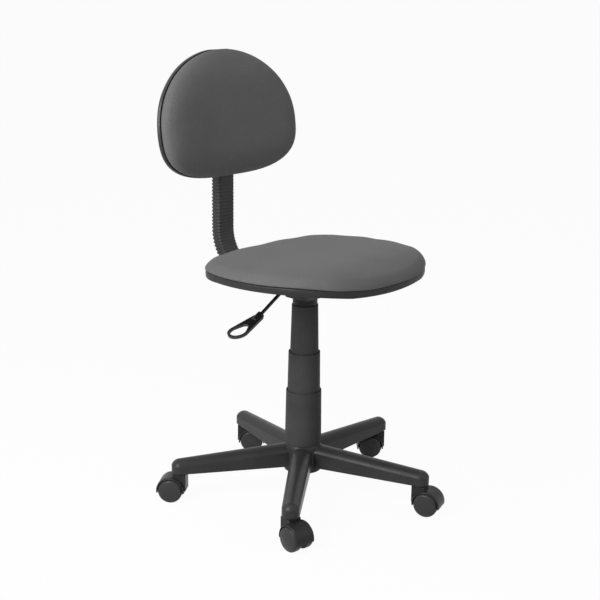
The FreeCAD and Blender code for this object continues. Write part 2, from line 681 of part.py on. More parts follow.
fall_run = value("seat_front - fall_start")
fall_radius = (fall_run ** 2 + value("fall_depth") ** 2) / (2 * value("fall_depth"))


def seat_fall(along):
    """How far the seat has fallen at a place along the chair."""
    ahead = min(max(-along - value("fall_start"), 0), fall_run)
    return fall_radius - math.sqrt(fall_radius ** 2 - ahead ** 2)


def bent_layer(bottom, height):
    """A layer wider than the seat that is level at the rear and bends down towards the front."""
    width = value("seat_width")
    start = -value("fall_start")
    rear = value("seat_rear + cut_past")
    steepest = math.asin((fall_run + value("cut_past")) / fall_radius)

    def spot(level, angle):
        radius = fall_radius + level
        return (-width, start - radius * math.sin(angle), radius * math.cos(angle) - fall_radius)

    top = bottom + height
    low = [spot(bottom, steepest * share) for share in (0, 0.5, 1)]
    high = [spot(top, steepest * share) for share in (1, 0.5, 0)]
    low_rear = (-width, rear, bottom)
    high_rear = (-width, rear, top)
    side = Part.Wire([line(low_rear, low[0]), arc(*low), line(low[2], high[0]), arc(*high),
                      line(high[2], high_rear), line(high_rear, low_rear)])
    return Part.Face(side).extrude(Vector(2 * width, 0, 0))


def seat_ring(scale, height, bent=True):
    """Outline of the seat, scaled about its middle, at a height over the board's bent underside."""
    half = value("seat_width") / 2
    front = -value("seat_front")
    rear = value("seat_rear")
    middle = (front + rear) / 2
    reach = (rear - front) / 2

    def spot(across, along):
        place = middle + reach * along * scale
        return (half * across * scale, place, height - seat_fall(place) * bent)

    right = (
        (spot(0.48, 0.985), spot(0.80, 0.84), spot(0.955, 0.50)),
        (spot(0.955, 0.50), spot(1.0, 0.04), spot(0.955, -0.34)),
        (spot(0.955, -0.34), spot(0.79, -0.70), spot(0.50, -0.925)),
    )
    edges = [arc(spot(-0.48, 0.985), spot(0, 1), spot(0.48, 0.985))]
    edges += [arc(*points) for points in right]
    edges += [arc(spot(0.50, -0.925), spot(0, -1), spot(-0.50, -0.925))]
    for points in reversed(right):
        edges.append(arc(*[(-x, y, z) for x, y, z in reversed(points)]))
    return Part.Wire(edges)


def seat_scale(inset):
    return 1 - 2 * inset / value("seat_width")


def seat_slab(inset, bottom, height):
    """A bent layer with the seat's outline, drawn in by an inset."""
    room = value("seat_front")
    column = Part.Face(seat_ring(seat_scale(inset), -room / 2, False)).extrude(Vector(0, 0, room))
    return column.common(bent_layer(bottom, height))


def upright(across, along, radius, bottom, height):
    return Part.makeCylinder(radius, height, Vector(across, along, bottom))


board_height = value("board_height")
board_shape = seat_slab(value("board_inset"), 0, board_height)
for across, along in bolt_places:
    board_shape = board_shape.cut(upright(across, along, value("nut_barrel / 2 + fit_gap"),
                                          -value("cut_past"), board_height + 2 * value("cut_past")))
    recess = value("nut_flange_height + fit_gap")
    board_shape = board_shape.cut(upright(across, along, value("nut_flange / 2 + seat_gap"),
                                          board_height - recess, recess + value("cut_past")))
board = solid("seat_board", board_shape)
board.Placement = seat_place
keep(board, "seat_board")

LOFT_DEGREE = 3
foot_level = -value("fall_depth + cut_past")

# Seat edging: a black profile round the board's edge, with a lip that holds the cover down under the board.
lip_bottom = -value("edging_lip + seat_gap")
edging_rise = board_height - lip_bottom
edging_round = value("edging_round")
# Height share of the edging's rings and how far each is drawn in by its rounded edges.
EDGING_RINGS = ((0, 1), (0.12, 0.2), (0.5, 0), (0.88, 0.2), (1, 1))
rings = [seat_ring(seat_scale(value("edging_reach")), lip_bottom + foot_level, False)]
for share, drawn_in in EDGING_RINGS:
    rings.append(seat_ring(seat_scale(value("edging_inset") + drawn_in * edging_round),
                           lip_bottom + share * edging_rise))
rings.append(seat_ring(seat_scale(value("edging_reach")), 2 * board_height, False))
edging_shape = Part.makeLoft(rings, True, False, False, LOFT_DEGREE).common(bent_layer(lip_bottom, edging_rise))
board_room = seat_slab(value("board_inset - seat_gap"), -value("seat_gap"), board_height + value("cut_past"))
lip_room = seat_slab(value("edging_reach"), lip_bottom - value("cut_past"), board_height)
edging = solid("seat_edging", edging_shape.cut(board_room).cut(lip_room))
edging.Placement = seat_place
keep(edging, "seat_edging")

# Height share and outline scale of the cushion's rings, from its drawn-in foot to its crown.
SEAT_RINGS = ((0, 0.955), (0.15, 0.962), (0.30, 0.972), (0.37, 0.985), (0.48, 1.0), (0.64, 0.987), (0.84, 0.935),
              (0.93, 0.86), (0.98, 0.77), (1.0, 0.67), (1.0, 0.55), (1.0, 0.44))
FOOT_SCALE = 0.94
cushion_height = value("cushion_height")
rings = [seat_ring(FOOT_SCALE, foot_level, False)]
rings += [seat_ring(scale, share * cushion_height) for share, scale in SEAT_RINGS]
cushion_shape = Part.makeLoft(rings, True, False, False, LOFT_DEGREE)
board_level = board_height + value("seat_gap")
below_cushion = bent_layer(board_level - value("seat_front") / 2, value("seat_front") / 2)
cushion = solid("seat_cushion", cushion_shape.cut(below_cushion))
cushion.Placement = seat_place
keep(cushion, "seat_cushion")

dust_shape = seat_slab(value("dust_inset"), -value("dust_cover + seat_gap"), value("dust_cover"))
plate_gap = value("dust_gap")
plate_room = Part.makeBox(
    value("flange_width + 2 * dust_gap"), value("flange_front + flange_rear + 2 * dust_gap"), 2 * plate_gap,
    Vector(-value("flange_width / 2 + dust_gap"), -value("flange_front + dust_gap"), -plate_gap))
dust = solid("dust_cover", dust_shape.cut(plate_room))
dust.Placement = seat_place
keep(dust, "dust_cover")

bolts = []
tee_nuts = []
for number, (across, along) in enumerate(bolt_places, start=1):
    head = doc.addObject("Part::Prism", f"seat_bolt_head_{number}")
    head.Polygon = 6
    bind(head, Circumradius="bolt_head / (2 * cos(30))", Height="bolt_head_height")
    head.Placement = seat_place.multiply(
        Placement(Vector(across, along, -value("pan_wall + bolt_head_height")), Rotation()))
    shank = seat_cylinder(f"seat_bolt_shank_{number}", "bolt_dia / 2", "pan_wall + board_height - bolt_short",
                          across, along, "-pan_wall")
    bolts.append(fuse(f"seat_bolt_{number}", head, shank))
    barrel = seat_cylinder(f"tee_nut_barrel_{number}", "nut_barrel / 2", "nut_barrel_length", across, along,
                           "board_height - nut_flange_height - nut_barrel_length")
    flange_disc = seat_cylinder(f"tee_nut_disc_{number}", "nut_flange / 2", "nut_flange_height",
                                across, along, "board_height - nut_flange_height")
    bore = seat_cylinder(f"tee_nut_bore_{number}", "bolt_dia / 2 + fit_gap",
                         "board_height + 2 * cut_past", across, along, "-cut_past")
    tee_nuts.append(cut(f"tee_nut_{number}", fuse(f"tee_nut_whole_{number}", barrel, flange_disc), bore))
keep(group("seat_bolts", bolts), "seat_bolts")
keep(group("tee_nuts", tee_nuts), "tee_nuts")

# Lever: a steel rod whose flat inner end presses the release pin, with a plastic loop as its handle.

keep(cylinder("lever_pin", "lever_pin_dia / 2", "lever_pin_length",
              ("-lever_pivot_x", "-lever_pin_length / 2", "lever_pivot_z"), "Y"), "lever_pin")
paddle = box("lever_paddle", ("lever_pivot_x + paddle_past", "paddle_width", "paddle_height"),
             ("-lever_pivot_x", "-paddle_width / 2", "lever_pivot_z - paddle_height / 2"))
eye = cylinder("lever_eye", "lever_eye_dia / 2", "lever_eye_width",
               ("-lever_pivot_x", "-lever_eye_width / 2", "lever_pivot_z"), "Y")
pivot = Vector(-value("lever_pivot_x"), 0, value("lever_pivot_z"))


def falling(start, drop):
    """Frame whose Z axis runs outwards to the sitter's right and falls by an angle."""
    return Placement(start, Rotation(Y_AXIS, -90 - drop))


rod = doc.addObject("Part::Cylinder", "lever_shaft")
bind(rod, Radius="lever_rod_dia / 2", Height="lever_rod_length")
rod.Placement = falling(pivot, value("lever_drop"))
eye_hole = cylinder("lever_eye_hole", "lever_pin_dia / 2 + fit_gap", "lever_eye_width + 2 * cut_past",
                    ("-lever_pivot_x", "-lever_eye_width / 2 - cut_past", "lever_pivot_z"), "Y")
keep(cut("lever_rod", fuse("lever_whole", paddle, eye, rod), eye_hole), "lever_rod")


def teardrop(neck_at, neck_radius, end_at, end_radius):
    """Wire around two circles on the X axis and their common tangents."""
    lean = math.asin((end_radius - neck_radius) / (end_at - neck_at))
    tops = []
    for at, radius in ((neck_at, neck_radius), (end_at, end_radius)):
        tops.append((at - radius * math.sin(lean), radius * math.cos(lean), 0))
    (neck_x, neck_y, flat), (end_x, end_y, flat) = tops
    return Part.Wire([
        arc((neck_x, neck_y, 0), (neck_at - neck_radius, 0, 0), (neck_x, -neck_y, 0)),
        line((neck_x, -neck_y, 0), (end_x, -end_y, 0)),
        arc((end_x, -end_y, 0), (end_at + end_radius, 0, 0), (end_x, end_y, 0)),
        line((end_x, end_y, 0), (neck_x, neck_y, 0)),
    ])


collar_end = falling(pivot, value("lever_drop")).multVec(
    Vector(0, 0, value("handle_start + handle_collar_length / 2")))
loop_height = value("handle_height")
loop = Part.Face(teardrop(0, value("loop_neck"), value("loop_length"), value("loop_radius")))
loop = loop.extrude(Vector(0, 0, loop_height))
finger = Part.Face(teardrop(value("finger_start"), value("finger_neck"), value("loop_length"),
                            value("finger_radius")))
loop = loop.cut(finger.extrude(Vector(0, 0, loop_height)))
loop.translate(Vector(0, 0, -loop_height / 2))
loop_turn = Rotation(Y_AXIS, -value("handle_drop")).multiply(Rotation(Z_AXIS, 180))
loop.Placement = Placement(collar_end, loop_turn).multiply(loop.Placement)
collar = Part.makeCylinder(value("handle_collar_dia / 2"), value("handle_collar_length"))
collar.Placement = falling(pivot, value("lever_drop")).multiply(
    Placement(Vector(0, 0, value("handle_start")), Rotation()))
rod_room = Part.makeCylinder(value("lever_rod_dia / 2 + fit_gap"), value("lever_rod_length + seat_gap"))
rod_room.Placement = falling(pivot, value("lever_drop"))
keep(solid("lever_handle", loop.fuse(collar).cut(rod_room).removeSplitter()), "lever_handle")

# Upright of the back: a bent steel bar bolted into a holder under the seat, inside a ribbed sleeve.

spine_y = value("spine_y")
bar_level = value("bar_level")
bend = value("bar_bend")
kink_z = value("bar_kink_z")
kink_bend = value("bar_kink_bend")
tilt = math.radians(value("back_tilt"))
kink_end = Vector(0, spine_y + kink_bend * (1 - math.cos(tilt)), kink_z + kink_bend * math.sin(tilt))
lean = Vector(0, math.sin(tilt), math.cos(tilt))


def bar_stretch(front, lean_length):
    """Parts of the bar's middle line as (length, point and heading at a share of it)."""

    def level(share):
        return Vector(0, front + (spine_y - bend - front) * share, bar_level), 0.0

    def corner(share):
        angle = share * math.pi / 2
        point = Vector(0, spine_y - bend + bend * math.sin(angle), bar_level + bend * (1 - math.cos(angle)))
        return point, angle

    def post(share):
        return Vector(0, spine_y, bar_level + bend + (kink_z - bar_level - bend) * share), math.pi / 2

    def kink(share):
        angle = share * tilt
        point = Vector(0, spine_y + kink_bend * (1 - math.cos(angle)), kink_z + kink_bend * math.sin(angle))
        return point, math.pi / 2 - angle

    def tail(share):
        return kink_end + lean * (lean_length * share), math.pi / 2 - tilt

    return (
        (spine_y - bend - front, level),
        (bend * math.pi / 2, corner),
        (kink_z - bar_level - bend, post),
        (kink_bend * tilt, kink),
        (lean_length, tail),
    )


def along_bar(stretch, distance):
    for length, spot in stretch:
        if distance <= length or spot is stretch[-1][1]:
            return spot(distance / length)
        distance -= length


def bar_frame(stretch, distance):
    """Frame on the bar's middle line: X across the chair, Y to the outside of the bend, Z along it."""
    point, heading = along_bar(stretch, distance)
    return Placement(point, Rotation(X_AXIS, math.degrees(heading) - 90))


stretch = bar_stretch(value("bar_front"), value("bar_lean"))
edges = []
STRAIGHT_ENOUGH = 1e-6
for length, spot in stretch:
    first, middle, last = [spot(share)[0] for share in (0, 0.5, 1)]
    straight = (middle - first).cross(last - middle).Length < STRAIGHT_ENOUGH
    edges.append(Part.makeLine(first, last) if straight else Part.Arc(first, middle, last).toShape())
path = Part.Wire(edges)
half_width = value("bar_width") / 2
half_height = value("bar_height") / 2
front = stretch[0][1](0)[0]
corners = [front + Vector(x, 0, z) for x, z in ((-half_width, -half_height), (half_width, -half_height),
                                                (half_width, half_height), (-half_width, half_height))]
bar_shape = path.makePipeShell([Part.makePolygon(corners + corners[:1])], True, True)
for along in (value("holder_bolt_front"), value("holder_bolt_front + holder_bolt_pitch")):
    bar_shape = bar_shape.cut(upright(0, along, value("holder_bolt_dia / 2 + bar_gap"),
                                      value("bar_level - bar_height"), value("2 * bar_height")))
keep(solid("spine_bar", bar_shape), "spine_bar")

holder_bottom = "bar_level - bar_height / 2 - bar_gap - holder_floor"
holder_deck = "bar_level + bar_height / 2 + bar_gap + holder_floor"
holder_rise = "seat_base - bar_level + holder_width"
holder_run = "holder_rear - holder_front + 2 * cut_past"
holder_block = box("holder_block", ("holder_width", "holder_rear - holder_front", holder_rise),
                   ("-holder_width / 2", "holder_front", holder_bottom))
bar_room = box("bar_room", ("bar_width + 2 * bar_gap", holder_run, "bar_height + 2 * bar_gap"),
               ("-bar_width / 2 - bar_gap", "holder_front - cut_past",
                "bar_level - bar_height / 2 - bar_gap"))
holder_window = box("holder_window", ("holder_width - 2 * holder_side", holder_run, holder_rise),
                    ("-holder_width / 2 + holder_side", "holder_front - cut_past", holder_deck))
under_flange = seat_box("under_flange", TRIM_SIZE, (*TRIM_CORNER, "-pan_wall - fit_gap"))
bolt_rows = [f"holder_bolt_front + holder_bolt_pitch * {number}" for number in (0, 1)]
holder_holes = []
for number, along in enumerate(bolt_rows):
    holder_holes.append(cylinder(f"holder_hole_{number}", "holder_bolt_dia / 2 + bar_gap", holder_rise,
                                 ("0", along, f"{holder_bottom} - cut_past")))
keep(cut("spine_holder", holder_block, bar_room, holder_window, under_flange, *holder_holes), "spine_holder")

spine_bolts = []
spine_nuts = []
for number, along in enumerate(bolt_rows):
    head = hexagon(f"spine_bolt_head_{number}", "holder_bolt_head", "holder_bolt_head_height",
                   ("0", along, f"{holder_bottom} - holder_bolt_head_height"))
    shank = cylinder(f"spine_bolt_shank_{number}", "holder_bolt_dia / 2",
                     f"{holder_deck} - ({holder_bottom}) + holder_nut_height + holder_bolt_past",
                     ("0", along, holder_bottom))
    spine_bolts.append(fuse(f"spine_bolt_{number}", head, shank))
    nut = hexagon(f"spine_nut_body_{number}", "holder_bolt_head", "holder_nut_height",
                  ("0", along, holder_deck))
    bore = cylinder(f"spine_nut_bore_{number}", "holder_bolt_dia / 2 + fit_gap",
                    "holder_nut_height + 2 * cut_past", ("0", along, f"{holder_deck} - cut_past"))
    spine_nuts.append(cut(f"spine_nut_{number}", nut, bore))
keep(group("spine_bolts", spine_bolts), "spine_bolts")
keep(group("spine_nuts", spine_nuts), "spine_nuts")


def sleeve_ring(frame, inset):
    """Rounded rectangle around the bar, inside the sleeve's outer size."""
    half_x = value("sleeve_width") / 2 - inset
    half_y = value("sleeve_depth") / 2 - inset
    radius = max(value("sleeve_corner") - inset, value("sleeve_wall"))
    edges = []
    slope = radius * (1 - math.sqrt(0.5))
    signs = ((1, 1), (-1, 1), (-1, -1), (1, -1))
    for number, (sx, sy) in enumerate(signs):
        side = (half_x * sx, (half_y - radius) * sy, 0)
        top = ((half_x - radius) * sx, half_y * sy, 0)
        middle = ((half_x - slope) * sx, (half_y - slope) * sy, 0)
        first, last = (side, top) if sx * sy > 0 else (top, side)
        edges.append(arc(first, middle, last))
        nx, ny = signs[(number + 1) % 4]
        next_top = ((half_x - radius) * nx, half_y * ny, 0)
        next_side = (half_x * nx, (half_y - radius) * ny, 0)
        edges.append(line(last, next_top if sx * sy > 0 else next_side))
    wire = Part.Wire(edges)
    wire.Placement = frame
    return wire


gap = value("seat_gap")
sleeve_path = bar_stretch(value("holder_rear + seat_gap"), value("bracket_foot - seat_gap"))
sleeve_length = sum(length for length, spot in sleeve_path)
rib_count = int(sleeve_length / value("rib_pitch"))
pitch = sleeve_length / rib_count
# Places along one rib, as shares of the pitch, and whether the sleeve is sunk there.
RIB_SHAPE = ((0.0, 1), (0.30, 1), (0.45, 0), (0.85, 0))
outer_rings = []
for rib in range(rib_count):
    for share, sunk in RIB_SHAPE:
        frame = bar_frame(sleeve_path, (rib + share) * pitch)
        outer_rings.append(sleeve_ring(frame, sunk * value("rib_depth")))
outer_rings.append(sleeve_ring(bar_frame(sleeve_path, sleeve_length), value("rib_depth")))
outside = Part.makeLoft(outer_rings, True, True)
bore_rings = []
for rib in range(rib_count + 1):
    frame = bar_frame(sleeve_path, min(rib * pitch, sleeve_length))
    bore_rings.append(sleeve_ring(frame, value("rib_depth + sleeve_wall")))
first_ring = sleeve_ring(bar_frame(sleeve_path, -gap), value("rib_depth + sleeve_wall"))
last_ring = sleeve_ring(bar_frame(sleeve_path, sleeve_length + gap), value("rib_depth + sleeve_wall"))
inside = Part.makeLoft([first_ring] + bore_rings[1:-1] + [last_ring], True, True)
keep(solid("spine_sleeve", outside.cut(inside)), "spine_sleeve")

# Back: a cushion over a bent board, a plastic shell behind it, and a bracket that slides on the bar and
# is clamped by a knob. Its own frame has Y = 0 on the shell's rear face and Z up along the lean.

bar_offset = value("sleeve_depth / 2 + seat_gap")
back_start = kink_end - Vector(0, math.cos(tilt), -math.sin(tilt)) * bar_offset
rise = (value("back_level") - back_start.z) / math.cos(tilt)
back_place = Placement(back_start + lean * rise, Rotation(X_AXIS, -value("back_tilt")))
wrap = value("back_wrap") / (value("back_width") / 2) ** 2


def back_half(height):
    """Half width of the back at a height over its widest line."""
    if height >= 0:
        return value("back_width") / 2 * math.sqrt(1 - (height / value("back_up")) ** 2)
    power = value("back_foot_power")
    return value("back_width") / 2 * (1 - (-height / value("back_down")) ** power) ** (1 / power)


def slice_ring(height, half, front, rear, bulge):
    """Level cut through a piece of the back: two long bent sides and two rounded ends."""
    inner = half - bulge
    near = front - wrap * inner ** 2
    far = rear - wrap * inner ** 2
    return Part.Wire([
        arc((-inner, near, height), (0, front, height), (inner, near, height)),
        arc((inner, near, height), (half, (near + far) / 2, height), (inner, far, height)),
        arc((inner, far, height), (0, rear, height), (-inner, far, height)),
        arc((-inner, far, height), (-half, (near + far) / 2, height), (-inner, near, height)),
    ])


# Shares of the back's height, from its foot to its top, at which its level cuts are taken.
BACK_LEVELS = (-0.985, -0.93, -0.80, -0.55, -0.25, 0.0, 0.30, 0.55, 0.75, 0.88, 0.955, 0.99)
# How steeply the cushion thins near its edge, and the most of its depth that the rounded edge may take.
CROWN_POWER = 5
EDGE_SHARE = 0.45


def back_loft(inset, front, rear, bulge, crown):
    """Loft through level cuts; crown thins the front side towards the edge."""
    rings = []
    for share in BACK_LEVELS:
        reach = value("back_up") if share >= 0 else value("back_down")
        height = share * (reach - inset)
        half = back_half(share * reach) * (1 - 2 * inset / value("back_width"))
        thin = crown * abs(share) ** CROWN_POWER
        depth = rear - front - thin
        rings.append(slice_ring(height, half, front + thin, rear, min(bulge, depth * EDGE_SHARE)))
    return Part.makeLoft(rings, True, False)


shell_depth = value("shell_depth")
back_depth = value("back_depth")
board_inset = value("back_board_inset")
board_front = -shell_depth - gap - value("back_board_height")
bracket_middle = (kink_end - back_place.Base).dot(lean) + value("bracket_foot + bracket_length / 2")
screw_places = [(side * value("screw_across / 2"), bracket_middle + end * value("screw_along / 2"))
                for side in (-1, 1) for end in (-1, 1)]


def back_rod(radius, across, up, start, length):
    return Part.makeCylinder(radius, length, Vector(across, start, up), Y_AXIS)


cut_past = value("cut_past")
board_bulge = value("board_bulge")
shell_shape = back_loft(0, -shell_depth, 0, value("shell_bulge"), 0)
shell_room = back_loft(value("shell_inset"), -shell_depth - gap, -value("shell_wall"), board_bulge, 0)
for across, up in screw_places:
    shell_room = shell_room.cut(back_rod(value("boss_dia / 2"), across, up, -shell_depth - cut_past,
                                         shell_depth + 2 * cut_past))
shell_shape = shell_shape.cut(shell_room)
board_back = back_loft(board_inset, board_front, -shell_depth - gap, board_bulge, 0)
pad_room = back_loft(board_inset - value("back_board_room"), board_front - gap, -shell_depth + cut_past,
                     board_bulge, 0)
for across, up in screw_places:
    hole = back_rod(value("screw_dia / 2 + fit_gap"), across, up, -back_depth, 2 * back_depth)
    shell_shape = shell_shape.cut(hole)
    board_back = board_back.cut(hole)
pad_shape = back_loft(value("pad_inset"), -back_depth, -shell_depth - gap, value("pad_bulge"),
                      value("pad_crown"))
pad_shape = pad_shape.cut(pad_room)
for name, shape in (("back_shell", shell_shape), ("back_board", board_back), ("back_cushion", pad_shape)):
    piece = solid(name, shape)
    piece.Placement = back_place
    keep(piece, name)

bracket_low = bracket_middle - value("bracket_length") / 2
bracket_parts = []
for name, width, depth in (("bracket_block", "bracket_width", "bracket_depth"),
                           ("bracket_plate", "bracket_flange", "bracket_flange_height")):
    part = doc.addObject("Part::Box", name)
    bind(part, Length=width, Width=depth, Height="bracket_length")
    part.Placement = Placement(Vector(-value(width) / 2, value("fit_gap"), bracket_low), Rotation())
    bracket_parts.append(part)
bar_slot = doc.addObject("Part::Box", "bracket_slot")
bind(bar_slot, Length="bar_width + 2 * bar_gap", Width="bar_height + 2 * bar_gap",
     Height="bracket_length + 2 * cut_past")
slot_corner = Vector(-value("bar_width / 2 + bar_gap"), bar_offset - value("bar_height / 2 + bar_gap"),
                     bracket_low - cut_past)
bar_slot.Placement = Placement(slot_corner, Rotation())


def back_cylinder(name, radius, height, across, up, start):
    item = doc.addObject("Part::Cylinder", name)
    bind(item, Radius=radius, Height=height)
    item.Placement = Placement(Vector(across, start, up), ALONG["Y"])
    return item


stud_start = bar_offset + value("bar_height / 2 + bar_gap")
bracket_rear = value("bracket_depth + fit_gap")
bracket_holes = [back_cylinder("stud_hole", "stud_dia / 2 + fit_gap", "bracket_depth", 0, bracket_middle,
                               bar_offset)]
for number, (across, up) in enumerate(screw_places, start=1):
    bracket_holes.append(back_cylinder(f"bracket_hole_{number}", "screw_dia / 2 + seat_gap",
                                       "bracket_depth + 2 * cut_past", across, up, -cut_past))
bracket = cut("back_bracket", fuse("bracket_whole", *bracket_parts), bar_slot, *bracket_holes)
bracket.Placement = back_place
keep(bracket, "back_bracket")

screws = []
for number, (across, up) in enumerate(screw_places, start=1):
    head_start = value("bracket_flange_height + fit_gap")
    head = back_cylinder(f"screw_head_{number}", "screw_head_dia / 2", "screw_head_height", across, up,
                         head_start)
    shank = back_cylinder(f"screw_shank_{number}", "screw_dia / 2", "screw_length", across, up,
                          head_start - value("screw_length"))
    screws.append(fuse(f"screw_{number}", head, shank))
screw_set = group("bracket_screws", screws)
screw_set.Placement = back_place
keep(screw_set, "bracket_screws")

knob_start = bracket_rear + value("knob_stand")
knob_head = back_cylinder("knob_head", "knob_dia / 2", "knob_height", 0, bracket_middle, knob_start)
scallops = []
for number in range(int(value("knob_scallops"))):
    around = 2 * math.pi * number / value("knob_scallops")
    reach = value("knob_dia / 2 + knob_scallop_dia / 2 - knob_scallop_bite")
    scallops.append(back_cylinder(f"scallop_{number + 1}", "knob_scallop_dia / 2",
                                  "knob_height + 2 * cut_past", reach * math.cos(around),
                                  bracket_middle + reach * math.sin(around), knob_start - cut_past))
stud_length = "bracket_depth + fit_gap + knob_stand + stud_in_knob - bar_height / 2 - bar_gap"
stud = back_cylinder("knob_stud", "stud_dia / 2", f"{stud_length} - sleeve_depth / 2 - seat_gap", 0,
                     bracket_middle, stud_start)
knob = fuse("back_knob", cut("knob_grip", knob_head, *scallops), stud)
knob.Placement = back_place
keep(knob, "back_knob")

# Casters: five hoods that turn on stems pressed into the legs, each with an axle and two wheels.

axle_z = "wheel_dia / 2"
wheel_inner = "web_width / 2 + web_gap"
wheel_outer = f"{wheel_inner} + wheel_width"
stems = []
grip_rings = []
for number in range(int(value("leg_count"))):
    tag = number + 1
    around = math.radians(value("leg_turn") + 360 / value("leg_count") * number)
    stem_at = Vector(value("stem_reach") * math.cos(around), value("stem_reach") * math.sin(around), 0)
    stem_place = Placement(stem_at, Rotation())
    caster_place = Placement(stem_at, Rotation(Z_AXIS, value(f"caster_yaw_{tag}")))

    stem = turned(f"stem_{tag}", (
        ("0", "stem_bottom"),
        ("stem_dia / 2", "stem_bottom"),
        ("stem_dia / 2", "hood_top + seat_gap"),
        ("stem_collar_dia / 2", "hood_top + seat_gap"),
        ("stem_collar_dia / 2", "leg_tip_bottom - fit_gap"),
        ("stem_dia / 2", "leg_tip_bottom - fit_gap"),
        ("stem_dia / 2", "ring_level"),
        ("stem_dia / 2 - ring_groove", "ring_level"),
        ("stem_dia / 2 - ring_groove", "ring_level + ring_height"),
        ("stem_dia / 2", "ring_level + ring_height"),
        ("stem_dia / 2", "stem_top - stem_bevel"),
        ("stem_dia / 2 - stem_bevel", "stem_top"),
        ("0", "stem_top"),
    ))
    stem.Placement = stem_place
    stems.append(stem)
    grip = turned(f"grip_ring_{tag}", (
        ("stem_dia / 2 - ring_groove + fit_gap", "ring_level + fit_gap"),
        ("stem_dia / 2", "ring_level + fit_gap"),
        ("stem_dia / 2", "ring_level + ring_height - fit_gap"),
        ("stem_dia / 2 - ring_groove + fit_gap", "ring_level + ring_height - fit_gap"),
    ))
    grip.Placement = stem_place
    grip_rings.append(grip)

    drum = turned(f"hood_drum_{tag}", (
        ("0", "-hood_width / 2"),
        ("hood_dia / 2 - hood_edge", "-hood_width / 2"),
        ("hood_dia / 2", "hood_edge - hood_width / 2"),
        ("hood_dia / 2", "hood_width / 2 - hood_edge"),
        ("hood_dia / 2 - hood_edge", "hood_width / 2"),
        ("0", "hood_width / 2"),
    ), {1: "hood_edge", 3: "hood_edge"})
    put(drum, ("caster_trail", "0", axle_z), "Y")
    block = box(f"hood_block_{tag}", ("hood_block", "hood_block", f"hood_top - ({axle_z})"),
                ("-hood_block / 2", "-hood_block / 2", axle_z))
    caves = []
    for side, start in (("left", "web_width / 2"), ("right", "-web_width / 2 - hood_width")):
        caves.append(cylinder(f"hood_cave_{side}_{tag}", "hood_inner_dia / 2", "hood_width",
                              ("caster_trail", start, axle_z), "Y"))
    below = box(f"hood_below_{tag}", ("4 * hood_dia", "4 * hood_dia", "hood_cut + cut_past"),
                ("-2 * hood_dia", "-2 * hood_dia", "-cut_past"))
    shade = cut(f"hood_shade_{tag}", fuse(f"hood_whole_{tag}", drum, block), below, *caves)
    web = cylinder(f"hood_web_{tag}", "web_foot_dia / 2", "web_width",
                   ("caster_trail", "-web_width / 2", axle_z), "Y")
    axle_hole = cylinder(f"hood_axle_hole_{tag}", "axle_dia / 2 + fit_gap", "web_width + 2 * cut_past",
                         ("caster_trail", "-web_width / 2 - cut_past", axle_z), "Y")
    stem_room = cylinder(f"hood_stem_room_{tag}", "stem_dia / 2 + fit_gap",
                         "hood_top - stem_bottom + 2 * cut_past", ("0", "0", "stem_bottom - seat_gap"))
    hood = cut(f"caster_hood_{tag}", fuse(f"hood_with_web_{tag}", shade, web), axle_hole, stem_room)
    hood.Placement = caster_place
    keep(hood, f"caster_hood_{tag}")

    axle_half = value(f"{wheel_outer} - wheel_cap - seat_gap")
    axle = doc.addObject("Part::Cylinder", f"caster_axle_{tag}")
    bind(axle, Radius="axle_dia / 2", Height=f"2 * ({wheel_outer} - wheel_cap - seat_gap)")
    axle.Placement = caster_place.multiply(
        Placement(Vector(value("caster_trail"), -axle_half, value(axle_z)), ALONG["Y"]))
    keep(axle, f"caster_axle_{tag}")

    for side, along in (("left", "Y"), ("right", "-Y")):
        wheel = turned(f"wheel_{side}_{tag}", (
            ("axle_dia / 2 + fit_gap", wheel_inner),
            ("wheel_dia / 2 - wheel_bevel", wheel_inner),
            ("wheel_dia / 2", f"{wheel_inner} + wheel_bevel"),
            ("wheel_dia / 2", f"{wheel_outer} - wheel_edge"),
            ("wheel_dia / 2 - wheel_edge", wheel_outer),
            ("0", f"{wheel_outer} + wheel_dome"),
            ("0", f"{wheel_outer} - wheel_cap"),
            ("axle_dia / 2 + fit_gap", f"{wheel_outer} - wheel_cap"),
        ), {1: "wheel_bevel", 3: "wheel_edge",
            4: "((wheel_dia / 2 - wheel_edge) ^ 2 + wheel_dome ^ 2) / (2 * wheel_dome)"})
        wheel.Placement = caster_place.multiply(
            Placement(Vector(value("caster_trail"), 0, value(axle_z)), ALONG[along]))
        keep(wheel, f"wheel_{side}_{tag}")
keep(group("caster_stems", stems), "caster_stems")
keep(group("grip_rings", grip_rings), "grip_rings")

# Every piece is checked, then written to its own file.

doc.recompute()
broken = [item.Name for item in doc.Objects if "Invalid" in item.State or "Error" in item.State]
if broken:
    raise RuntimeError("not built: " + ", ".join(broken))
os.makedirs("parts", exist_ok=True)
for item in nodes:
    shape = item.Shape
    if shape.isNull() or not shape.isValid() or not shape.Solids:
        raise RuntimeError("no sound solid: " + item.Label)
    shape.exportStep(f"parts/{item.Label}.step")
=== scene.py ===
import math

import bmesh
import bpy
from mathutils import Matrix, Quaternion, Vector


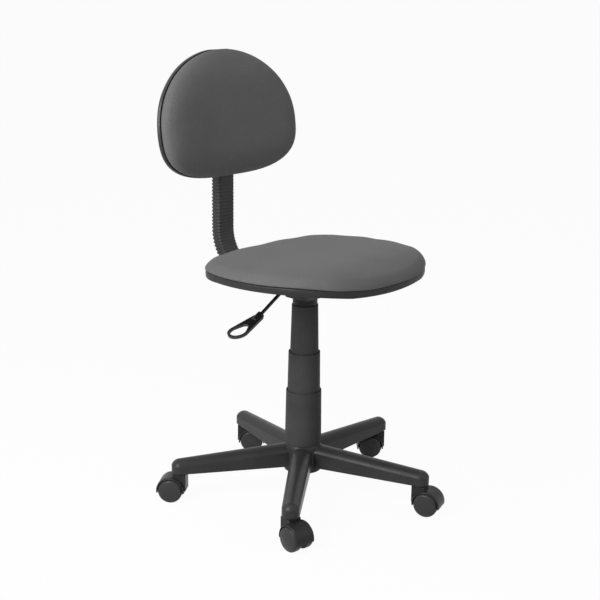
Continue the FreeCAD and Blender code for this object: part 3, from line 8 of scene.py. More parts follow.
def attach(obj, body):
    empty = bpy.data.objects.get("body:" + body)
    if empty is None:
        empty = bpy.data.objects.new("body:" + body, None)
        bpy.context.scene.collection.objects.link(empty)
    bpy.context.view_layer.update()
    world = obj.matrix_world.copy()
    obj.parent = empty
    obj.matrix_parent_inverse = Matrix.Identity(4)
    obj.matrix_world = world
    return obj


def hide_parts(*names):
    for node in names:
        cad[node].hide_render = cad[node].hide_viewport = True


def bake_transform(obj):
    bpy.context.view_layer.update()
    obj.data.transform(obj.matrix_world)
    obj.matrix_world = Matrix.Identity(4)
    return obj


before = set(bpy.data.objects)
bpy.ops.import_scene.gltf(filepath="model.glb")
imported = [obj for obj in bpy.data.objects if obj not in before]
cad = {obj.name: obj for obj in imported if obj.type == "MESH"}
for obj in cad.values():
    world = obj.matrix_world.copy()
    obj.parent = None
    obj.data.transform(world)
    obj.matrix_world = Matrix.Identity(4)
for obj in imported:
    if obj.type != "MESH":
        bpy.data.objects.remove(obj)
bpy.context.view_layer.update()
scene = bpy.context.scene

# Base: the hub and its five hollow legs are one moulding in black glass-filled nylon.
# The mould has a fine spark-eroded grain. Its ridges are painted paler, partly as wear from use and partly as
# a painted highlight along them.


def add(tree, kind, sockets=None, **settings):
    """Add a node; sockets maps an input's name or number to a value or to another node's output."""
    node = tree.nodes.new(kind)
    for name, setting in settings.items():
        setattr(node, name, setting)
    for name, given in (sockets or {}).items():
        if isinstance(given, bpy.types.NodeSocket):
            tree.links.new(given, node.inputs[name])
        else:
            node.inputs[name].default_value = given
    return node


def math_node(tree, operation, *given, clamp=False):
    """The output of a sum, product or other sum on one or two values."""
    sockets = dict(enumerate(given))
    return add(tree, "ShaderNodeMath", sockets, operation=operation, use_clamp=clamp).outputs[0]


def mix_colours(tree, share, first, second, blend="MIX"):
    """The colour between two colours."""
    mix = add(tree, "ShaderNodeMix", {0: share, 6: first, 7: second}, data_type="RGBA", blend_type=blend)
    return mix.outputs[2]


def spread(tree, given, low, high, to_low, to_high):
    """A value carried from one range to another, and held inside it."""
    sockets = {"Value": given, "From Min": low, "From Max": high, "To Min": to_low, "To Max": to_high}
    return add(tree, "ShaderNodeMapRange", sockets).outputs["Result"]


def noise(tree, place, scale, detail):
    """The value of a cloudy noise at a place."""
    return add(tree, "ShaderNodeTexNoise", {"Vector": place, "Scale": scale, "Detail": detail}).outputs["Fac"]


def bump(tree, height, depth, strength, smooth=None):
    """The normal of a surface with small heights on it, over a smooth normal where one is given."""
    sockets = {"Strength": strength, "Distance": depth, "Height": height}
    if smooth is not None:
        sockets["Normal"] = smooth
    return add(tree, "ShaderNodeBump", sockets).outputs["Normal"]


def shader_group(name, inputs, outputs):
    """Start a shader node group and give it named sockets."""
    tree = bpy.data.node_groups.new(name, "ShaderNodeTree")
    for label, (kind, start) in inputs.items():
        socket = tree.interface.new_socket(name=label, in_out="INPUT", socket_type="NodeSocket" + kind)
        socket.default_value = start
    for label, kind in outputs.items():
        tree.interface.new_socket(name=label, in_out="OUTPUT", socket_type="NodeSocket" + kind)
    return tree, tree.nodes.new("NodeGroupInput").outputs, tree.nodes.new("NodeGroupOutput").inputs


def grey(level):
    """A neutral colour with its alpha."""
    return (level, level, level, 1.0)


moulding, given, made = shader_group(
    "moulded_finish",
    {"Colour": ("Color", grey(0.03)), "Rubbed Colour": ("Color", grey(0.08)), "Roughness": ("Float", 0.45),
     "Grains": ("Float", 1500.0), "Grain Depth": ("Float", 0.00004), "Edge": ("Float", 0.0012),
     "Rub": ("Float", 0.5)},
    {"Colour": "Color", "Roughness": "Float", "Normal": "Vector"})
place = add(moulding, "ShaderNodeTexCoord").outputs["Object"]
edge = add(moulding, "ShaderNodeBevel", {"Radius": given["Edge"]}, samples=4).outputs["Normal"]
true_normal = add(moulding, "ShaderNodeNewGeometry").outputs["Normal"]
facing = add(moulding, "ShaderNodeVectorMath", {0: edge, 1: true_normal},
             operation="DOT_PRODUCT").outputs["Value"]
ridge = spread(moulding, facing, 0.995, 0.86, 0.0, 1.0)
scuff_noise = noise(moulding, place, 55.0, 5.0)
scuffs = spread(moulding, scuff_noise, 0.42, 0.66, 0.15, 1.0)
# Paler colour on every ridge: partly rubbed wear, partly a painted highlight along the edges.
rubbed = math_node(moulding, "MULTIPLY", math_node(moulding, "MULTIPLY", ridge, scuffs), given["Rub"])
clouds = noise(moulding, place, 14.0, 3.0)
flow = spread(moulding, clouds, 0.3, 0.7, 0.86, 1.14)
shade = mix_colours(moulding, rubbed, given["Colour"], given["Rubbed Colour"])
moulding.links.new(mix_colours(moulding, 1.0, shade, flow, "MULTIPLY"), made["Colour"])
grains = add(moulding, "ShaderNodeTexVoronoi",
             {"Vector": place, "Scale": given["Grains"]}).outputs["Distance"]
uneven = math_node(moulding, "ADD", given["Roughness"], spread(moulding, scuff_noise, 0.3, 0.7, -0.06, 0.06))
polish = math_node(moulding, "MULTIPLY", rubbed, 0.1)
moulding.links.new(math_node(moulding, "SUBTRACT", uneven, polish), made["Roughness"])
moulding.links.new(bump(moulding, grains, given["Grain Depth"], 0.6, edge), made["Normal"])


def new_material(name, specular=0.5):
    """A material with one Principled shader, and that shader."""
    material = bpy.data.materials.new(name)
    material.use_nodes = True
    shader = material.node_tree.nodes["Principled BSDF"]
    shader.inputs["Specular IOR Level"].default_value = specular
    return material, shader


def place_group(material, shader, group, values, links):
    """Place a node group in a material, with its own values, and link its outputs to the shader."""
    tree = material.node_tree
    node = add(tree, "ShaderNodeGroup", node_tree=group)
    for name, number in values.items():
        node.inputs[name].default_value = number
    for output, socket in links.items():
        tree.links.new(node.outputs[output], shader.inputs[socket])
    return node


FINISH_LINKS = {"Colour": "Base Color", "Roughness": "Roughness", "Normal": "Normal"}


def moulded(name, specular=0.5, **values):
    """A moulded plastic; each keyword is a socket of the shared finish."""
    material, shader = new_material(name, specular)
    sockets = {key.replace("_", " ").title(): number for key, number in values.items()}
    place_group(material, shader, moulding, sockets, FINISH_LINKS)
    return material


def dress(material, *names):
    """Give CAD nodes their material."""
    for name in names:
        slots = cad[name].data.materials
        slots.clear()
        slots.append(material)


base_nylon = moulded("base_nylon", 0.15, colour=grey(0.038), rubbed_colour=grey(0.10), roughness=0.34,
                     edge=0.0025)
dress(base_nylon, "star_base")

# Casters: a nylon hood over two solid nylon wheels on a steel axle, turning on a steel stem.
# The stem is pushed into the leg's end and held there by a split ring in its groove.

CASTERS = range(1, 6)
hood_nylon = moulded("hood_nylon", 0.15, colour=grey(0.026), rubbed_colour=grey(0.07), roughness=0.34,
                     edge=0.002)
wheel_nylon = moulded("wheel_nylon", 0.15, colour=grey(0.046), rubbed_colour=grey(0.12), roughness=0.34,
                      rub=0.8, edge=0.0015)
for number in CASTERS:
    dress(hood_nylon, f"caster_hood_{number}")
    dress(wheel_nylon, f"wheel_left_{number}", f"wheel_right_{number}")

metal, given, made = shader_group(
    "metal_finish",
    {"Colour": ("Color", grey(0.5)), "Stain": ("Color", grey(0.3)), "Roughness": ("Float", 0.3),
     "Marks": ("Float", 900.0), "Mark Depth": ("Float", 0.00002), "Edge": ("Float", 0.0006)},
    {"Colour": "Color", "Roughness": "Float", "Normal": "Vector"})
place = add(metal, "ShaderNodeTexCoord").outputs["Object"]
edge = add(metal, "ShaderNodeBevel", {"Radius": given["Edge"]}, samples=4).outputs["Normal"]
marks = noise(metal, place, given["Marks"], 3.0)
blotches = noise(metal, place, 40.0, 4.0)
stained = spread(metal, blotches, 0.45, 0.75, 0.0, 0.6)
metal.links.new(mix_colours(metal, stained, given["Colour"], given["Stain"]), made["Colour"])
dulled = spread(metal, blotches, 0.3, 0.7, -0.07, 0.1)
metal.links.new(math_node(metal, "ADD", given["Roughness"], dulled), made["Roughness"])
metal.links.new(bump(metal, marks, given["Mark Depth"], 0.5, edge), made["Normal"])


def metallic(name, shine=1.0, specular=0.5, **values):
    """A bare, plated or painted metal; shine is 1 for bare metal and 0 for paint."""
    material, shader = new_material(name, specular)
    shader.inputs["Metallic"].default_value = shine
    sockets = {key.replace("_", " ").title(): number for key, number in values.items()}
    place_group(material, shader, metal, sockets, FINISH_LINKS)
    return material


bright_steel = metallic("bright_steel", colour=grey(0.56), stain=grey(0.4), roughness=0.22)
zinc_plate = metallic("zinc_plate", colour=(0.55, 0.56, 0.58, 1), stain=(0.44, 0.43, 0.38, 1), roughness=0.36,
                      marks=500.0)
dress(zinc_plate, "caster_stems")
dress(bright_steel, "grip_rings", *[f"caster_axle_{number}" for number in CASTERS])

# Column: a steel tube wedged in the hub, with a plastic bush that guides the ground gas cylinder.
# The piston rod hangs in the tube's floor on a ball bearing, over a rubber buffer.

tube_paint = metallic("tube_paint", 0.0, colour=grey(0.02), stain=grey(0.03), roughness=0.35,
                      mark_depth=0.00005)
bush_plastic = moulded("bush_plastic", colour=(0.62, 0.6, 0.54, 1), rubbed_colour=grey(0.5), roughness=0.35,
                       grains=3000.0)
buffer_rubber = moulded("buffer_rubber", 0.3, colour=grey(0.012), rubbed_colour=grey(0.03), roughness=0.75,
                        grains=900.0)
dress(tube_paint, "column_tube")
dress(bush_plastic, "guide_bush")
dress(buffer_rubber, "rubber_buffer")
dress(bright_steel, "gas_cylinder", "release_pin", "piston_rod", "bearing_balls", "retaining_clip")
dress(zinc_plate, "bearing_washer_lower", "bearing_washer_upper")

# Column covers: three thin polypropylene tubes that slide into one another as the seat goes down.
# They are moulded with a satin surface and painted a little paler along their rims, partly as rubbed wear and
# partly as a painted highlight.

cover_plastic = moulded("cover_plastic", 0.03, colour=grey(0.064), rubbed_colour=grey(0.09), roughness=0.5,
                        grains=2200.0, grain_depth=0.00002)
dress(cover_plastic, "cover_lower", "cover_middle", "cover_upper")

# Seat plate: a pressed steel pan with its socket, and the welded holder of the back's bar.
# Both are powder coated black, which leaves a slight orange peel. Their bolts and nuts are zinc plated.

powder_coat = metallic("powder_coat", 0.0, 0.2, colour=grey(0.014), stain=grey(0.020), roughness=0.5,
                       marks=420.0, mark_depth=0.00009, edge=0.0012)
dress(powder_coat, "seat_plate", "spine_holder", "spine_bar")
dress(zinc_plate, "seat_bolts", "spine_bolts", "spine_nuts", "tee_nuts", "lever_pin")

# Seat board: moulded plywood, bent down at the front, with the tee nuts knocked in from above.
# Its rotary-cut beech faces are left bare, and its edge shows the veneers.

SEAT_PLACE = Matrix.Translation((0, 0, 0.4805)) @ Matrix.Rotation(math.radians(-2.6), 4, "X")
VENEER = 0.0015
GRAIN_SCALES = (90.0, 6.0, 1 / VENEER)

plywood, shader = new_material("plywood", 0.3)
tree = plywood.node_tree
place = add(tree, "ShaderNodeTexCoord").outputs["Object"]
stretched = add(tree, "ShaderNodeMapping", {"Vector": place, "Scale": GRAIN_SCALES}).outputs["Vector"]
fibres = add(tree, "ShaderNodeTexNoise", {"Vector": stretched, "Scale": 1.0, "Detail": 4.0,
                                          "Distortion": 0.6}).outputs["Fac"]
figure = mix_colours(tree, fibres, (0.42, 0.27, 0.15, 1), (0.62, 0.44, 0.27, 1))
tree.links.new(figure, shader.inputs["Base Color"])
tree.links.new(spread(tree, fibres, 0.3, 0.7, 0.5, 0.68), shader.inputs["Roughness"])
tree.links.new(bump(tree, fibres, 0.0002, 0.3), shader.inputs["Normal"])
dress(plywood, "seat_board", "back_board")

# Seat edging: a black plastic profile pressed round the board's edge, with a lip under the board.
# It is extruded with a satin face, and covers the edge of the upholstery all round.

edging_plastic = moulded("edging_plastic", 0.2, colour=grey(0.028), rubbed_colour=grey(0.07), roughness=0.45,
                         grains=2600.0, grain_depth=0.00002, edge=0.0008)
dress(edging_plastic, "seat_edging")

# Seat cushion: moulded foam under a taut woven cover, tucked behind the edging at the foot of its side.
# Its top is crowned, its side swells over the edging, and its front falls away under the knees.

SEAT_HALF_WIDTH = 0.212
SEAT_FRONT = -0.227
SEAT_REAR = 0.145
SEAT_FALL_START = -0.126
SEAT_FALL = 0.016
SEAT_HEIGHT = 0.039
SEAT_FOOT = 0.0125
SEAT_FACE = 0.93
SEAT_CROWN = 0.955
SEAT_CROWN_FALL = 0.16
SEAT_RINGS = 26
RING_SPACING = 0.92
OUTLINE_PLACES = 720
SEAT_MIDDLE = (SEAT_FRONT + SEAT_REAR) / 2
SEAT_REACH = (SEAT_REAR - SEAT_FRONT) / 2
SEAT_OUTLINE = ((0.0, 1.0), (0.48, 0.985), (0.80, 0.84), (0.955, 0.50), (1.0, 0.04), (0.955, -0.34),
                (0.79, -0.70), (0.50, -0.925), (0.0, -1.0))


def smooth_loop(corners, count):
    """Evenly spaced places on a closed smooth curve through corners."""
    curve = bpy.data.curves.new("loop", "CURVE")
    curve.dimensions = "3D"
    curve.resolution_u = 32
    spline = curve.splines.new("BEZIER")
    spline.bezier_points.add(len(corners) - 1)
    for point, corner in zip(spline.bezier_points, corners):
        point.co = Vector((*corner, 0.0))
        point.handle_left_type = "AUTO"
        point.handle_right_type = "AUTO"
    spline.use_cyclic_u = True
    holder = bpy.data.objects.new("loop", curve)
    line = bpy.data.meshes.new_from_object(holder)
    places = [vertex.co.to_2d() for vertex in line.vertices]
    bpy.data.objects.remove(holder)
    return even_loop(places, count)


def even_loop(places, count):
    """The same closed line with evenly spaced places."""
    closed = places + places[:1]
    marks = [0.0]
    for first, second in zip(closed, closed[1:]):
        marks.append(marks[-1] + (second - first).length)
    even = []
    step = 0
    for number in range(count):
        target = marks[-1] * number / count
        while marks[step + 1] < target:
            step += 1
        share = (target - marks[step]) / (marks[step + 1] - marks[step])
        even.append(closed[step].lerp(closed[step + 1], share))
    return even


def on_loop(loop, turn):
    """The place at a share of a closed line."""
    far = turn % 1.0 * len(loop)
    step = int(far) % len(loop)
    return loop[step].lerp(loop[(step + 1) % len(loop)], far - int(far))


def pad_mesh(name, steps, crown, edge_rings, spot):
    """A closed pad: a grid of square rings as its face, rings round its edge, and one face as its back.

    crown gives a face ring's scale and height from its share, and spot turns a share of the outline,
    a scale and a height into a point.
    """
    mesh = bmesh.new()
    rings = [[mesh.verts.new(spot(0.0, 0.0, crown(0.0)[1]))]]
    for ring in range(1, steps + 1):
        scale, height = crown(ring / steps)
        rings.append([mesh.verts.new(spot(place / (8 * ring), scale, height)) for place in range(8 * ring)])
    for ring in range(1, steps + 1):
        outer = rings[ring]
        inner = rings[ring - 1]
        for side in range(4):
            start = side * 2 * ring
            inner_start = side * 2 * (ring - 1)
            mesh.faces.new((outer[start - 1], outer[start], outer[start + 1],
                            inner[inner_start % len(inner)]))
            for place in range(1, 2 * ring - 1):
                mesh.faces.new((outer[start + place], outer[(start + place + 1) % len(outer)],
                                inner[(inner_start + place) % len(inner)], inner[inner_start + place - 1]))
    last = rings[-1]
    count = len(last)
    for scale, height in edge_rings:
        nearer = [mesh.verts.new(spot(place / count, scale, height)) for place in range(count)]
        for place in range(count):
            after = (place + 1) % count
            mesh.faces.new((nearer[place], nearer[after], last[after], last[place]))
        last = nearer
    mesh.faces.new(last)
    bmesh.ops.recalc_face_normals(mesh, faces=mesh.faces)
    made = bpy.data.meshes.new(name)
    mesh.to_mesh(made)
    mesh.free()
    for face in made.polygons:
        face.use_smooth = True
    return made


def new_piece(name, mesh, material):
    """A piece of the object with its own mesh and material."""
    piece = bpy.data.objects.new(name, mesh)
    scene.collection.objects.link(piece)
    mesh.materials.clear()
    mesh.materials.append(material)
    return piece


FOAM_PRESSURE = 4.0
MOST_SWELL = 0.003
SWELL_FRAMES = 20
EVENINGS = 30


def evened(way, others):
    """A move that has gone half the way to the mean of its neighbours' moves."""
    return (way + sum(others, Vector()) / len(others)) / 2


def swell(piece, held):
    """Let the foam press its cover outwards, evened out and stopped after a short way."""
    mesh = piece.data
    start = [vertex.co.copy() for vertex in mesh.vertices]
    fixed = {vertex.index for vertex in mesh.vertices if held(vertex.co)}
    group = piece.vertex_groups.new(name="held")
    group.add(list(fixed), 1.0, "REPLACE")
    cloth = piece.modifiers.new("foam", "CLOTH")
    cloth.settings.quality = 6
    cloth.settings.mass = 0.3
    cloth.settings.tension_stiffness = 40.0
    cloth.settings.compression_stiffness = 40.0
    cloth.settings.shear_stiffness = 15.0
    cloth.settings.bending_stiffness = 8.0
    cloth.settings.use_pressure = True
    cloth.settings.uniform_pressure_force = FOAM_PRESSURE
    cloth.settings.vertex_group_mass = group.name
    cloth.settings.effector_weights.gravity = 0.0
    cloth.point_cache.frame_start = 1
    cloth.point_cache.frame_end = SWELL_FRAMES
    for number in range(1, SWELL_FRAMES + 1):
        scene.frame_set(number)
    swollen = piece.evaluated_get(bpy.context.evaluated_depsgraph_get()).to_mesh()
    ways = [vertex.co - first for vertex, first in zip(swollen.vertices, start)]
    piece.modifiers.remove(cloth)
    piece.vertex_groups.remove(group)
    scene.frame_set(1)
    beside = [[] for first in start]
    for one, other in (edge.vertices for edge in mesh.edges):
        beside[one].append(other)
        beside[other].append(one)
    for evening in range(EVENINGS):
        ways = [way if index in fixed else evened(way, [ways[other] for other in beside[index]])
                for index, way in enumerate(ways)]
    for vertex, first, way in zip(mesh.vertices, start, ways):
        vertex.co = first + way * (MOST_SWELL / (MOST_SWELL + way.length))


def smoothed(piece):
    """Finish a padded piece with one level of subdivision."""
    finer = piece.modifiers.new("finer", "SUBSURF")
    finer.levels = 1
    finer.render_levels = 1


def seat_fall(along):
    """How far the seat has fallen at a place along the chair."""
    run = SEAT_FALL_START - SEAT_FRONT
    radius = (run ** 2 + SEAT_FALL ** 2) / (2 * SEAT_FALL)
    ahead = min(max(SEAT_FALL_START - along, 0.0), run)
    return radius - math.sqrt(radius ** 2 - ahead ** 2)


mirrored = [(-across, along) for across, along in reversed(SEAT_OUTLINE[1:-1])]
seat_loop = smooth_loop([(across * SEAT_HALF_WIDTH, along * SEAT_REACH)
                         for across, along in SEAT_OUTLINE + tuple(mirrored)], OUTLINE_PLACES)


def seat_spot(turn, scale, height):
    """A point of the seat: a share of its outline, a scale about its middle, and a height over the board."""
    place = on_loop(seat_loop, turn) * scale
    along = place.y + SEAT_MIDDLE
    return SEAT_PLACE @ Vector((place.x, along, height - seat_fall(along)))


def seat_crown(share):
    """Scale and height of a ring of the seat's face, which falls away close to its edge."""
    scale = SEAT_FACE * share ** RING_SPACING
    return scale, SEAT_HEIGHT * (SEAT_CROWN - SEAT_CROWN_FALL * (scale / SEAT_FACE) ** 8)


SEAT_EDGE = ((0.946, 0.0288), (0.960, 0.0265), (0.972, 0.0240), (0.982, 0.0216), (0.9885, 0.0194),
             (0.9925, 0.0175), (0.9940, 0.0160), (0.9925, 0.0147), (0.9885, 0.0137), (0.9820, 0.0130),
             (0.9740, 0.0127), (0.9600, SEAT_FOOT), (0.6000, SEAT_FOOT))

weave, given, made = shader_group(
    "plain_weave",
    {"Vector": ("Vector", (0.0, 0.0, 0.0)), "Colour": ("Color", grey(0.14)),
     "Weft Colour": ("Color", grey(0.11)), "Threads": ("Float", 900.0), "Thread Depth": ("Float", 0.00016)},
    {"Colour": "Color", "Roughness": "Float", "Normal": "Vector"})
parts = add(weave, "ShaderNodeSeparateXYZ", {0: given["Vector"]}).outputs
warp = math_node(weave, "MULTIPLY", math_node(weave, "ADD", parts["X"], parts["Z"]), given["Threads"])
weft = math_node(weave, "MULTIPLY", math_node(weave, "ADD", parts["Y"], parts["Z"]), given["Threads"])
warp_wave = math_node(weave, "SINE", math_node(weave, "MULTIPLY", warp, math.pi))
weft_wave = math_node(weave, "SINE", math_node(weave, "MULTIPLY", weft, math.pi))
crossing = math_node(weave, "MULTIPLY", warp_wave, weft_wave)
over = spread(weave, crossing, -0.25, 0.25, 0.0, 1.0)
yarn = noise(weave, given["Vector"], 420.0, 3.0)
patches = noise(weave, given["Vector"], 11.0, 4.0)
thread = mix_colours(weave, over, given["Weft Colour"], given["Colour"])
melange = mix_colours(weave, 1.0, thread, spread(weave, yarn, 0.3, 0.7, 0.88, 1.12), "MULTIPLY")
faded = spread(weave, patches, 0.3, 0.7, 0.95, 1.05)
weave.links.new(mix_colours(weave, 1.0, melange, faded, "MULTIPLY"), made["Colour"])
weave.links.new(spread(weave, yarn, 0.3, 0.7, 0.72, 0.86), made["Roughness"])
raised = math_node(weave, "ABSOLUTE", crossing)
weave.links.new(bump(weave, raised, given["Thread Depth"], 0.5), made["Normal"])

CLOTH_COLOURS = {"Colour": grey(0.140), "Weft Colour": grey(0.114)}


def woven(name, turn):
    """The grey upholstery cloth, with its threads turned to lie along a piece."""
    material, shader = new_material(name, 0.35)
    shader.inputs["Sheen Weight"].default_value = 0.06
    shader.inputs["Sheen Roughness"].default_value = 0.45
    node = place_group(material, shader, weave, CLOTH_COLOURS, FINISH_LINKS)
    tree = material.node_tree
    place = add(tree, "ShaderNodeTexCoord").outputs["Object"]
    laid = add(tree, "ShaderNodeMapping", {"Vector": place, "Rotation": (math.radians(turn), 0.0, 0.0)})
    tree.links.new(laid.outputs["Vector"], node.inputs["Vector"])
    return material


seat_cloth = woven("seat_cloth", 0.0)
seat_pad_mesh = pad_mesh("seat_pad", SEAT_RINGS, seat_crown, SEAT_EDGE, seat_spot)
seat_pad = new_piece("seat_pad", seat_pad_mesh, seat_cloth)
to_seat = SEAT_PLACE.inverted()
HELD_RISE = 0.0008


def under_seat(point):
    """Where the seat's cover is held: where it goes in behind the edging."""
    local = to_seat @ point
    return local.z + seat_fall(local.y) < SEAT_FOOT + HELD_RISE


swell(seat_pad, under_seat)
smoothed(seat_pad)
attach(seat_pad, "seat")
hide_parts("seat_cushion")

# Dust cover: a sheet of black non-woven cloth that closes the seat's underside around the seat plate.
# It is stretched over the turned-in edge of the upholstery and stapled all round.

DUST_SCALE = 0.934
DUST_DROP = -0.0011
DUST_THICKNESS = 0.0006
DUST_SAG = 0.0012
DUST_HOLE = ((-0.102, -0.092), (0.102, -0.092), (0.102, 0.120), (-0.102, 0.120))
DUST_RINGS = 7
DUST_PLACES = 160

hole_loop = even_loop([Vector(corner) for corner in DUST_HOLE], DUST_PLACES)
middle = Vector((0.0, SEAT_MIDDLE))
outer_loop = [on_loop(seat_loop, place / DUST_PLACES) * DUST_SCALE + middle for place in range(DUST_PLACES)]
nearest = min(range(DUST_PLACES), key=lambda place: (hole_loop[place] - outer_loop[0]).length)
ahead = (hole_loop[nearest + 1 - DUST_PLACES] - hole_loop[nearest]).dot(outer_loop[1] - outer_loop[0])
along_hole = 1 if ahead > 0 else -1
sheet = bmesh.new()
rows = []
for ring in range(DUST_RINGS + 1):
    share = ring / DUST_RINGS
    sag = DUST_SAG * math.sin(math.pi * share) ** 2
    row = []
    for place in range(DUST_PLACES):
        inner = hole_loop[(nearest + along_hole * place) % DUST_PLACES]
        spot = outer_loop[place].lerp(inner, share)
        height = DUST_DROP - seat_fall(spot.y) - sag
        row.append(sheet.verts.new(SEAT_PLACE @ Vector((spot.x, spot.y, height))))
    rows.append(row)
for outer, inner in zip(rows, rows[1:]):
    for place in range(DUST_PLACES):
        after = (place + 1) % DUST_PLACES
        sheet.faces.new((outer[place], outer[after], inner[after], inner[place]))
dust_area = sum(face.calc_area() for face in sheet.faces)
bmesh.ops.recalc_face_normals(sheet, faces=sheet.faces)
dust_mesh = bpy.data.meshes.new("dust_sheet")
sheet.to_mesh(dust_mesh)
sheet.free()

dust_cloth, shader = new_material("dust_cloth", 0.2)
tree = dust_cloth.node_tree
place = add(tree, "ShaderNodeTexCoord").outputs["Object"]
felt = noise(tree, place, 1300.0, 4.0)
dots = add(tree, "ShaderNodeTexVoronoi",
           {"Vector": place, "Scale": 600.0, "Randomness": 0.1}).outputs["Distance"]
tree.links.new(mix_colours(tree, felt, grey(0.008), grey(0.03)), shader.inputs["Base Color"])
tree.links.new(spread(tree, felt, 0.3, 0.7, 0.8, 0.95), shader.inputs["Roughness"])
tree.links.new(bump(tree, dots, 0.0001, 0.4), shader.inputs["Normal"])

dust_sheet = new_piece("dust_sheet", dust_mesh, dust_cloth)
wall = dust_sheet.modifiers.new("wall", "SOLIDIFY")
wall.thickness = DUST_THICKNESS
wall.offset = 0.0
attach(dust_sheet, "seat")
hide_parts("dust_cover")

# Staples: wire staples all round the dust cover, shot up through it into the board.
# Their crowns lie along the edge and press into the cloth.

STAPLES = 44
STAPLE_SCALE = 0.918
STAPLE_SIZES = {"Crown": 0.010, "Wire": 0.0009, "Stand": 0.0006}


def tree_with_inputs(name, sizes):
    """Start a geometry node tree with a named input for each size; gives it, its inputs and its end."""
    tree = bpy.data.node_groups.new(name, "GeometryNodeTree")
    tree.interface.new_socket(name="Geometry", in_out="INPUT", socket_type="NodeSocketGeometry")
    for label in sizes:
        tree.interface.new_socket(name=label, in_out="INPUT", socket_type="NodeSocketFloat")
    tree.interface.new_socket(name="Material", in_out="INPUT", socket_type="NodeSocketMaterial")
    tree.interface.new_socket(name="Geometry", in_out="OUTPUT", socket_type="NodeSocketGeometry")
    return tree, tree.nodes.new("NodeGroupInput").outputs, tree.nodes.new("NodeGroupOutput").inputs[0]


def end_tree(tree, shape, material, end):
    """Finish a tree: real faces with their material."""
    real = add(tree, "GeometryNodeRealizeInstances", {"Geometry": shape}).outputs["Geometry"]
    painted = add(tree, "GeometryNodeSetMaterial", {"Geometry": real, "Material": material})
    tree.links.new(painted.outputs["Geometry"], end)


def grown(name, source, tree, sizes, material):
    """Run a tree on a source, and keep its result as a plain piece."""
    holder = bpy.data.objects.new(name + "_source", source)
    scene.collection.objects.link(holder)
    modifier = holder.modifiers.new("nodes", "NODES")
    modifier.node_group = tree
    for item in tree.interface.items_tree:
        if item.in_out == "INPUT" and item.name in sizes:
            modifier[item.identifier] = sizes[item.name]
        if item.in_out == "INPUT" and item.name == "Material":
            modifier[item.identifier] = material
    graph = bpy.context.evaluated_depsgraph_get()
    mesh = bpy.data.meshes.new_from_object(holder.evaluated_get(graph))
    bpy.data.objects.remove(holder)
    mesh.name = name
    return new_piece(name, mesh, material)


def combined(tree, across, along, up):
    """A vector from its three shares."""
    return add(tree, "ShaderNodeCombineXYZ", {"X": across, "Y": along, "Z": up}).outputs[0]


staple_tree, given, end = tree_with_inputs("staples", STAPLE_SIZES)
marks = add(staple_tree, "GeometryNodeResampleCurve", {"Curve": given["Geometry"], "Count": STAPLES},
            mode="COUNT").outputs[0]
half_crown = math_node(staple_tree, "MULTIPLY", given["Crown"], 0.5)
other_half = math_node(staple_tree, "MULTIPLY", given["Crown"], -0.5)
below = math_node(staple_tree, "MULTIPLY", given["Stand"], -2.0)
bent_wire = add(staple_tree, "GeometryNodeCurvePrimitiveBezierSegment", {
    "Resolution": 8,
    "Start": combined(staple_tree, other_half, 0.0, given["Stand"]),
    "Start Handle": combined(staple_tree, other_half, 0.0, below),
    "End Handle": combined(staple_tree, half_crown, 0.0, below),
    "End": combined(staple_tree, half_crown, 0.0, given["Stand"])}, mode="POSITION").outputs[0]
wire_radius = math_node(staple_tree, "MULTIPLY", given["Wire"], 0.5)
wire_section = add(staple_tree, "GeometryNodeCurvePrimitiveCircle", {"Resolution": 6, "Radius": wire_radius},
                   mode="RADIUS").outputs[0]
staple_shape = add(staple_tree, "GeometryNodeCurveToMesh", {"Curve": bent_wire, "Profile Curve": wire_section,
                                                            "Fill Caps": True}).outputs[0]
tangent = add(staple_tree, "GeometryNodeInputTangent").outputs[0]
turned = add(staple_tree, "FunctionNodeAlignRotationToVector", {"Vector": tangent}, axis="X").outputs[0]
placed = add(staple_tree, "GeometryNodeInstanceOnPoints", {"Points": marks, "Instance": staple_shape,
                                                           "Rotation": turned}).outputs[0]
smooth = add(staple_tree, "GeometryNodeSetShadeSmooth", {"Geometry": placed}).outputs[0]
end_tree(staple_tree, smooth, given["Material"], end)


def poly_curve(name, places, closed):
    """A line through places."""
    curve = bpy.data.curves.new(name, "CURVE")
    curve.dimensions = "3D"
    spline = curve.splines.new("POLY")
    spline.points.add(len(places) - 1)
    for point, where in zip(spline.points, places):
        point.co = (*where, 1.0)
    spline.use_cyclic_u = closed
    return curve


staple_line = []
for corner in seat_loop[::4]:
    spot = corner * STAPLE_SCALE + middle
    height = DUST_DROP - DUST_THICKNESS / 2 - seat_fall(spot.y)
    staple_line.append(SEAT_PLACE @ Vector((spot.x, spot.y, height)))
staple_curve = poly_curve("staple_line", staple_line, True)
staples = grown("staples", staple_curve, staple_tree, STAPLE_SIZES, zinc_plate)
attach(staples, "seat")

# Lever: a black steel rod whose flat inner end presses the release pin, turning on a pin in the seat plate.
# Its handle is an open loop of glossy moulded plastic, pushed onto the rod.

lever_paint = metallic("lever_paint", 0.0, colour=grey(0.012), stain=grey(0.02), roughness=0.3, marks=300.0)
handle_plastic = moulded("handle_plastic", colour=grey(0.012), rubbed_colour=grey(0.05), roughness=0.26,
                         grain_depth=0.00001, edge=0.0024)
dress(lever_paint, "lever_rod")
dress(handle_plastic, "lever_handle")

# Ribbed sleeve: a soft black rubber tube over the back's steel bar, from its holder up to the back.
# Its ribs let it bend round the corner. On the real chair they stretch and shorten as the back is moved up
# and down; here the sleeve is made in one fixed shape.

